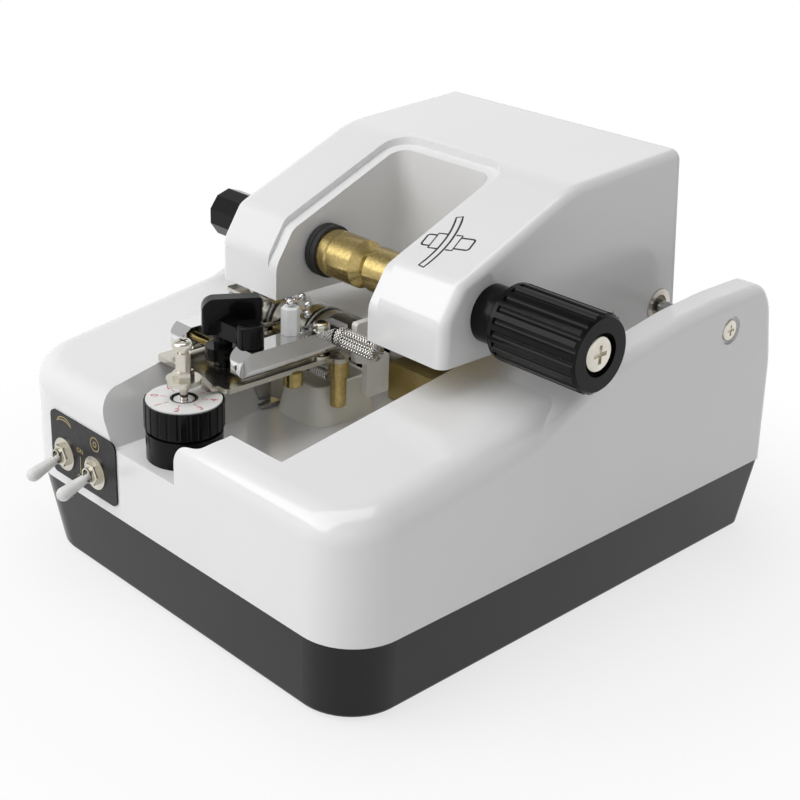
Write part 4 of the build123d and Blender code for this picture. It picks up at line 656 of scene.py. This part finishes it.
def chromed_chain():
    """Separate balls on links, from the anchor on the plate to the top of the pin."""
    ball_radius = 1.6
    collar = 0.2
    link_radius = 0.5
    seat = 0.03
    hanging = [
        (-54.4, -35.4, 104.6), (-51.7, -30.2, 104.3), (-43.6, -29.4, 104.0), (-38.9, -30.3, 104.3),
        (-34.0, -31.3, 104.8), (-28.7, -31.9, 108.4), (-20.9, -35.4, 108.2), (-16.8, -39.5, 106.6),
        (-16.7, -43.8, 108.8),
    ]
    over_the_rim = Vector((-16.3, -45.0, 113.4))
    pin_low, pin_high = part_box("selector_pin")
    pin_top = Vector(((pin_low.x + pin_high.x) / 2, (pin_low.y + pin_high.y) / 2, pin_high.z)) / mm
    middles = [Vector(middle) for middle in hanging]
    middles.append(pin_top + Vector((0, 0, ball_radius + seat)))
    ball = chain_ball(ball_radius, collar)
    pieces = []
    for place, middle in enumerate(middles):
        before = middles[max(place - 1, 0)]
        after = middles[min(place + 1, len(middles) - 1)]
        pieces.append(own_copy(ball, Matrix.Translation(middle * mm) @ towards(after - before)))
    bpy.data.objects.remove(ball)
    route = middles[:-1] + [over_the_rim, middles[-1]]
    for first, last in zip(route, route[1:]):
        pieces.append(chain_link(first, last, link_radius))
    chain = joined("chromed_chain", pieces)
    bpy.ops.object.shade_smooth_by_angle(angle=crease)
    # The balls' chrome is toned far darker than the bars': painted reflection, standing in for the dark
    # surroundings the balls mirror.
    chain.data.materials.append(bright_chrome("ball_chrome_painted_dark_reflection", (0.5, 0.5, 0.5), (0.6, 0.6, 0.6)))
    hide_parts("bead_chain")
    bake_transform(chain)


def grub_screws():
    """Two small socket screws in the right bar's top, between the pin and the side screw."""
    radius = 1.3
    sunk = 0.05
    proud = 0.45
    wall = 0.6
    socket = 0.35
    round_edge = 0.12
    places = ((-15.1, -43.6), (-14.4, -40.0))
    height = (sunk + proud) * mm
    bpy.ops.object.select_all(action="DESELECT")
    bpy.ops.mesh.primitive_cylinder_add(vertices=24, radius=radius * mm, depth=height)
    screw = bpy.context.active_object
    pick_faces(screw, faces_up)
    bpy.ops.mesh.inset(thickness=wall * mm, depth=0)
    bpy.ops.mesh.extrude_region_move(TRANSFORM_OT_translate={"value": (0, 0, -socket * mm)})
    bpy.ops.object.mode_set(mode="OBJECT")
    rounding = screw.modifiers.new("rounding", "BEVEL")
    rounding.width = round_edge * mm
    rounding.segments = 2
    rounding.limit_method = "ANGLE"
    bpy.ops.object.modifier_apply(modifier="rounding")
    screws = []
    for x, y in places:
        place, _ = slope_point("right_guide_bar", x * mm, y * mm)
        middle = place + Vector((0, 0, height / 2 - sunk * mm))
        screws.append(own_copy(screw, Matrix.Translation(middle)))
    bpy.data.objects.remove(screw)
    pair = joined("grub_screws", screws)
    bpy.ops.object.shade_smooth_by_angle(angle=crease)
    settle(pair, bright_chrome("screw_steel", (0.34, 0.34, 0.34), (0.44, 0.44, 0.44)), "right_bar")


chromed_chain()
grub_screws()


# Studio


def mixed_shaders(tree, share, first, second, output):
    """Joins two shaders by a share and sends them to the output."""
    mixed = tree.nodes.new("ShaderNodeMixShader")
    tree.links.new(share, mixed.inputs["Fac"])
    tree.links.new(first, mixed.inputs[1])
    tree.links.new(second, mixed.inputs[2])
    tree.links.new(mixed.outputs["Shader"], output.inputs["Surface"])


def smooth_change(tree, value, from_range, to_range):
    """A value that goes softly from one level to another."""
    change = tree.nodes.new("ShaderNodeMapRange")
    change.interpolation_type = "SMOOTHSTEP"
    change.inputs["From Min"].default_value, change.inputs["From Max"].default_value = from_range
    change.inputs["To Min"].default_value, change.inputs["To Max"].default_value = to_range
    tree.links.new(value, change.inputs["Value"])
    return change.outputs["Result"]


def rays_that_show_white(tree):
    """One for what the camera, mirrors and clear pieces see, and nought for lighting."""
    path = tree.nodes.new("ShaderNodeLightPath").outputs
    seen = calculated(tree, "MAXIMUM", path["Is Camera Ray"], path["Is Glossy Ray"])
    return calculated(tree, "MAXIMUM", seen, path["Is Transmission Ray"])


def white_floor():
    """A wide pale floor that keeps the object's shadow and turns plain white further out."""
    width = 30.0
    paint_tone = (0.94, 0.94, 0.94, 1)
    fade_reach = (0.13, 0.27)
    fade_share = (0.74, 1.0)
    bpy.ops.mesh.primitive_plane_add(size=width, location=(0, 0, 0))
    floor = bpy.context.active_object
    floor.name = "studio_floor"
    surface = bpy.data.materials.new("studio_floor_white")
    surface.use_nodes = True
    tree = surface.node_tree
    tree.nodes.clear()
    out = tree.nodes.new("ShaderNodeOutputMaterial")
    paint = tree.nodes.new("ShaderNodeBsdfDiffuse")
    paint.inputs["Color"].default_value = paint_tone
    white = tree.nodes.new("ShaderNodeEmission")
    white.inputs["Color"].default_value = (1, 1, 1, 1)
    place = tree.nodes.new("ShaderNodeTexCoord")
    reach = tree.nodes.new("ShaderNodeVectorMath")
    reach.operation = "LENGTH"
    tree.links.new(place.outputs["Object"], reach.inputs[0])
    fade = smooth_change(tree, reach.outputs["Value"], fade_reach, fade_share)
    share = calculated(tree, "MULTIPLY", fade, rays_that_show_white(tree))
    mixed_shaders(tree, share, paint.outputs["BSDF"], white.outputs["Emission"], out)
    floor.data.materials.append(surface)


def soft_world():
    """White round the horizon, dimmer overhead for what mirrors see, and even for lighting."""
    lighting = 0.33
    overhead_heights = (0.42, 0.75)
    overhead_levels = (1.0, 0.3)
    world = bpy.data.worlds.new("studio_air")
    bpy.context.scene.world = world
    world.use_nodes = True
    tree = world.node_tree
    tree.nodes.clear()
    out = tree.nodes.new("ShaderNodeOutputWorld")
    even, seen = [tree.nodes.new("ShaderNodeBackground") for _ in range(2)]
    for air in (even, seen):
        air.inputs["Color"].default_value = (1, 1, 1, 1)
    even.inputs["Strength"].default_value = lighting
    direction = tree.nodes.new("ShaderNodeTexCoord")
    heights = tree.nodes.new("ShaderNodeSeparateXYZ")
    tree.links.new(direction.outputs["Object"], heights.inputs["Vector"])
    level = smooth_change(tree, heights.outputs["Z"], overhead_heights, overhead_levels)
    tree.links.new(level, seen.inputs["Strength"])
    share = rays_that_show_white(tree)
    mixed_shaders(tree, share, even.outputs["Background"], seen.outputs["Background"], out)


def soft_lamp(name, place, width, power):
    """A square soft box aimed at the machine."""
    lamp = bpy.data.lights.new(name, "AREA")
    lamp.shape = "RECTANGLE"
    lamp.size = width
    lamp.size_y = width
    lamp.energy = power
    holder = bpy.data.objects.new(name, lamp)
    bpy.context.scene.collection.objects.link(holder)
    holder.location = Vector(place)
    machine_middle = Vector((0, 0, 0.08))
    aim = machine_middle - holder.location
    holder.rotation_euler = aim.to_track_quat("-Z", "Y").to_euler()


def studio_camera():
    """The photograph's eye: place and turn found by fitting the machine's edges."""
    yaw = math.radians(44.94)
    pitch = math.radians(24.27)
    roll = math.radians(-2.45)
    from_casing = Vector((401.74, -404.52, 0)) * mm
    eye_height = 317.69 * mm
    right = Vector((math.cos(yaw), math.sin(yaw), 0))
    ahead = Vector(
        (-math.sin(yaw) * math.cos(pitch), math.cos(yaw) * math.cos(pitch), -math.sin(pitch))
    )
    down = ahead.cross(right)
    side = math.cos(roll) * right + math.sin(roll) * down
    lower = -math.sin(roll) * right + math.cos(roll) * down
    turn = Matrix((side, -lower, -ahead)).transposed()
    lens = bpy.data.cameras.new("studio_camera")
    lens.lens = 68.29
    lens.sensor_width = 36.0
    lens.clip_start = 0.01
    lens.clip_end = 100.0
    eye = bpy.data.objects.new("studio_camera", lens)
    bpy.context.scene.collection.objects.link(eye)
    eye.matrix_world = turn.to_4x4()
    eye.location = (casing_middle.x + from_casing.x, casing_middle.y + from_casing.y, eye_height)
    bpy.context.scene.camera = eye


white_floor()
soft_world()
soft_lamp("top_box", place=(-0.1, -0.2, 1.4), width=1.0, power=5.7)
soft_lamp("front_left_box", place=(-0.55, -1.25, 1.1), width=1.4, power=14.3)
studio_camera()
bpy.context.scene.view_settings.view_transform = "Standard"
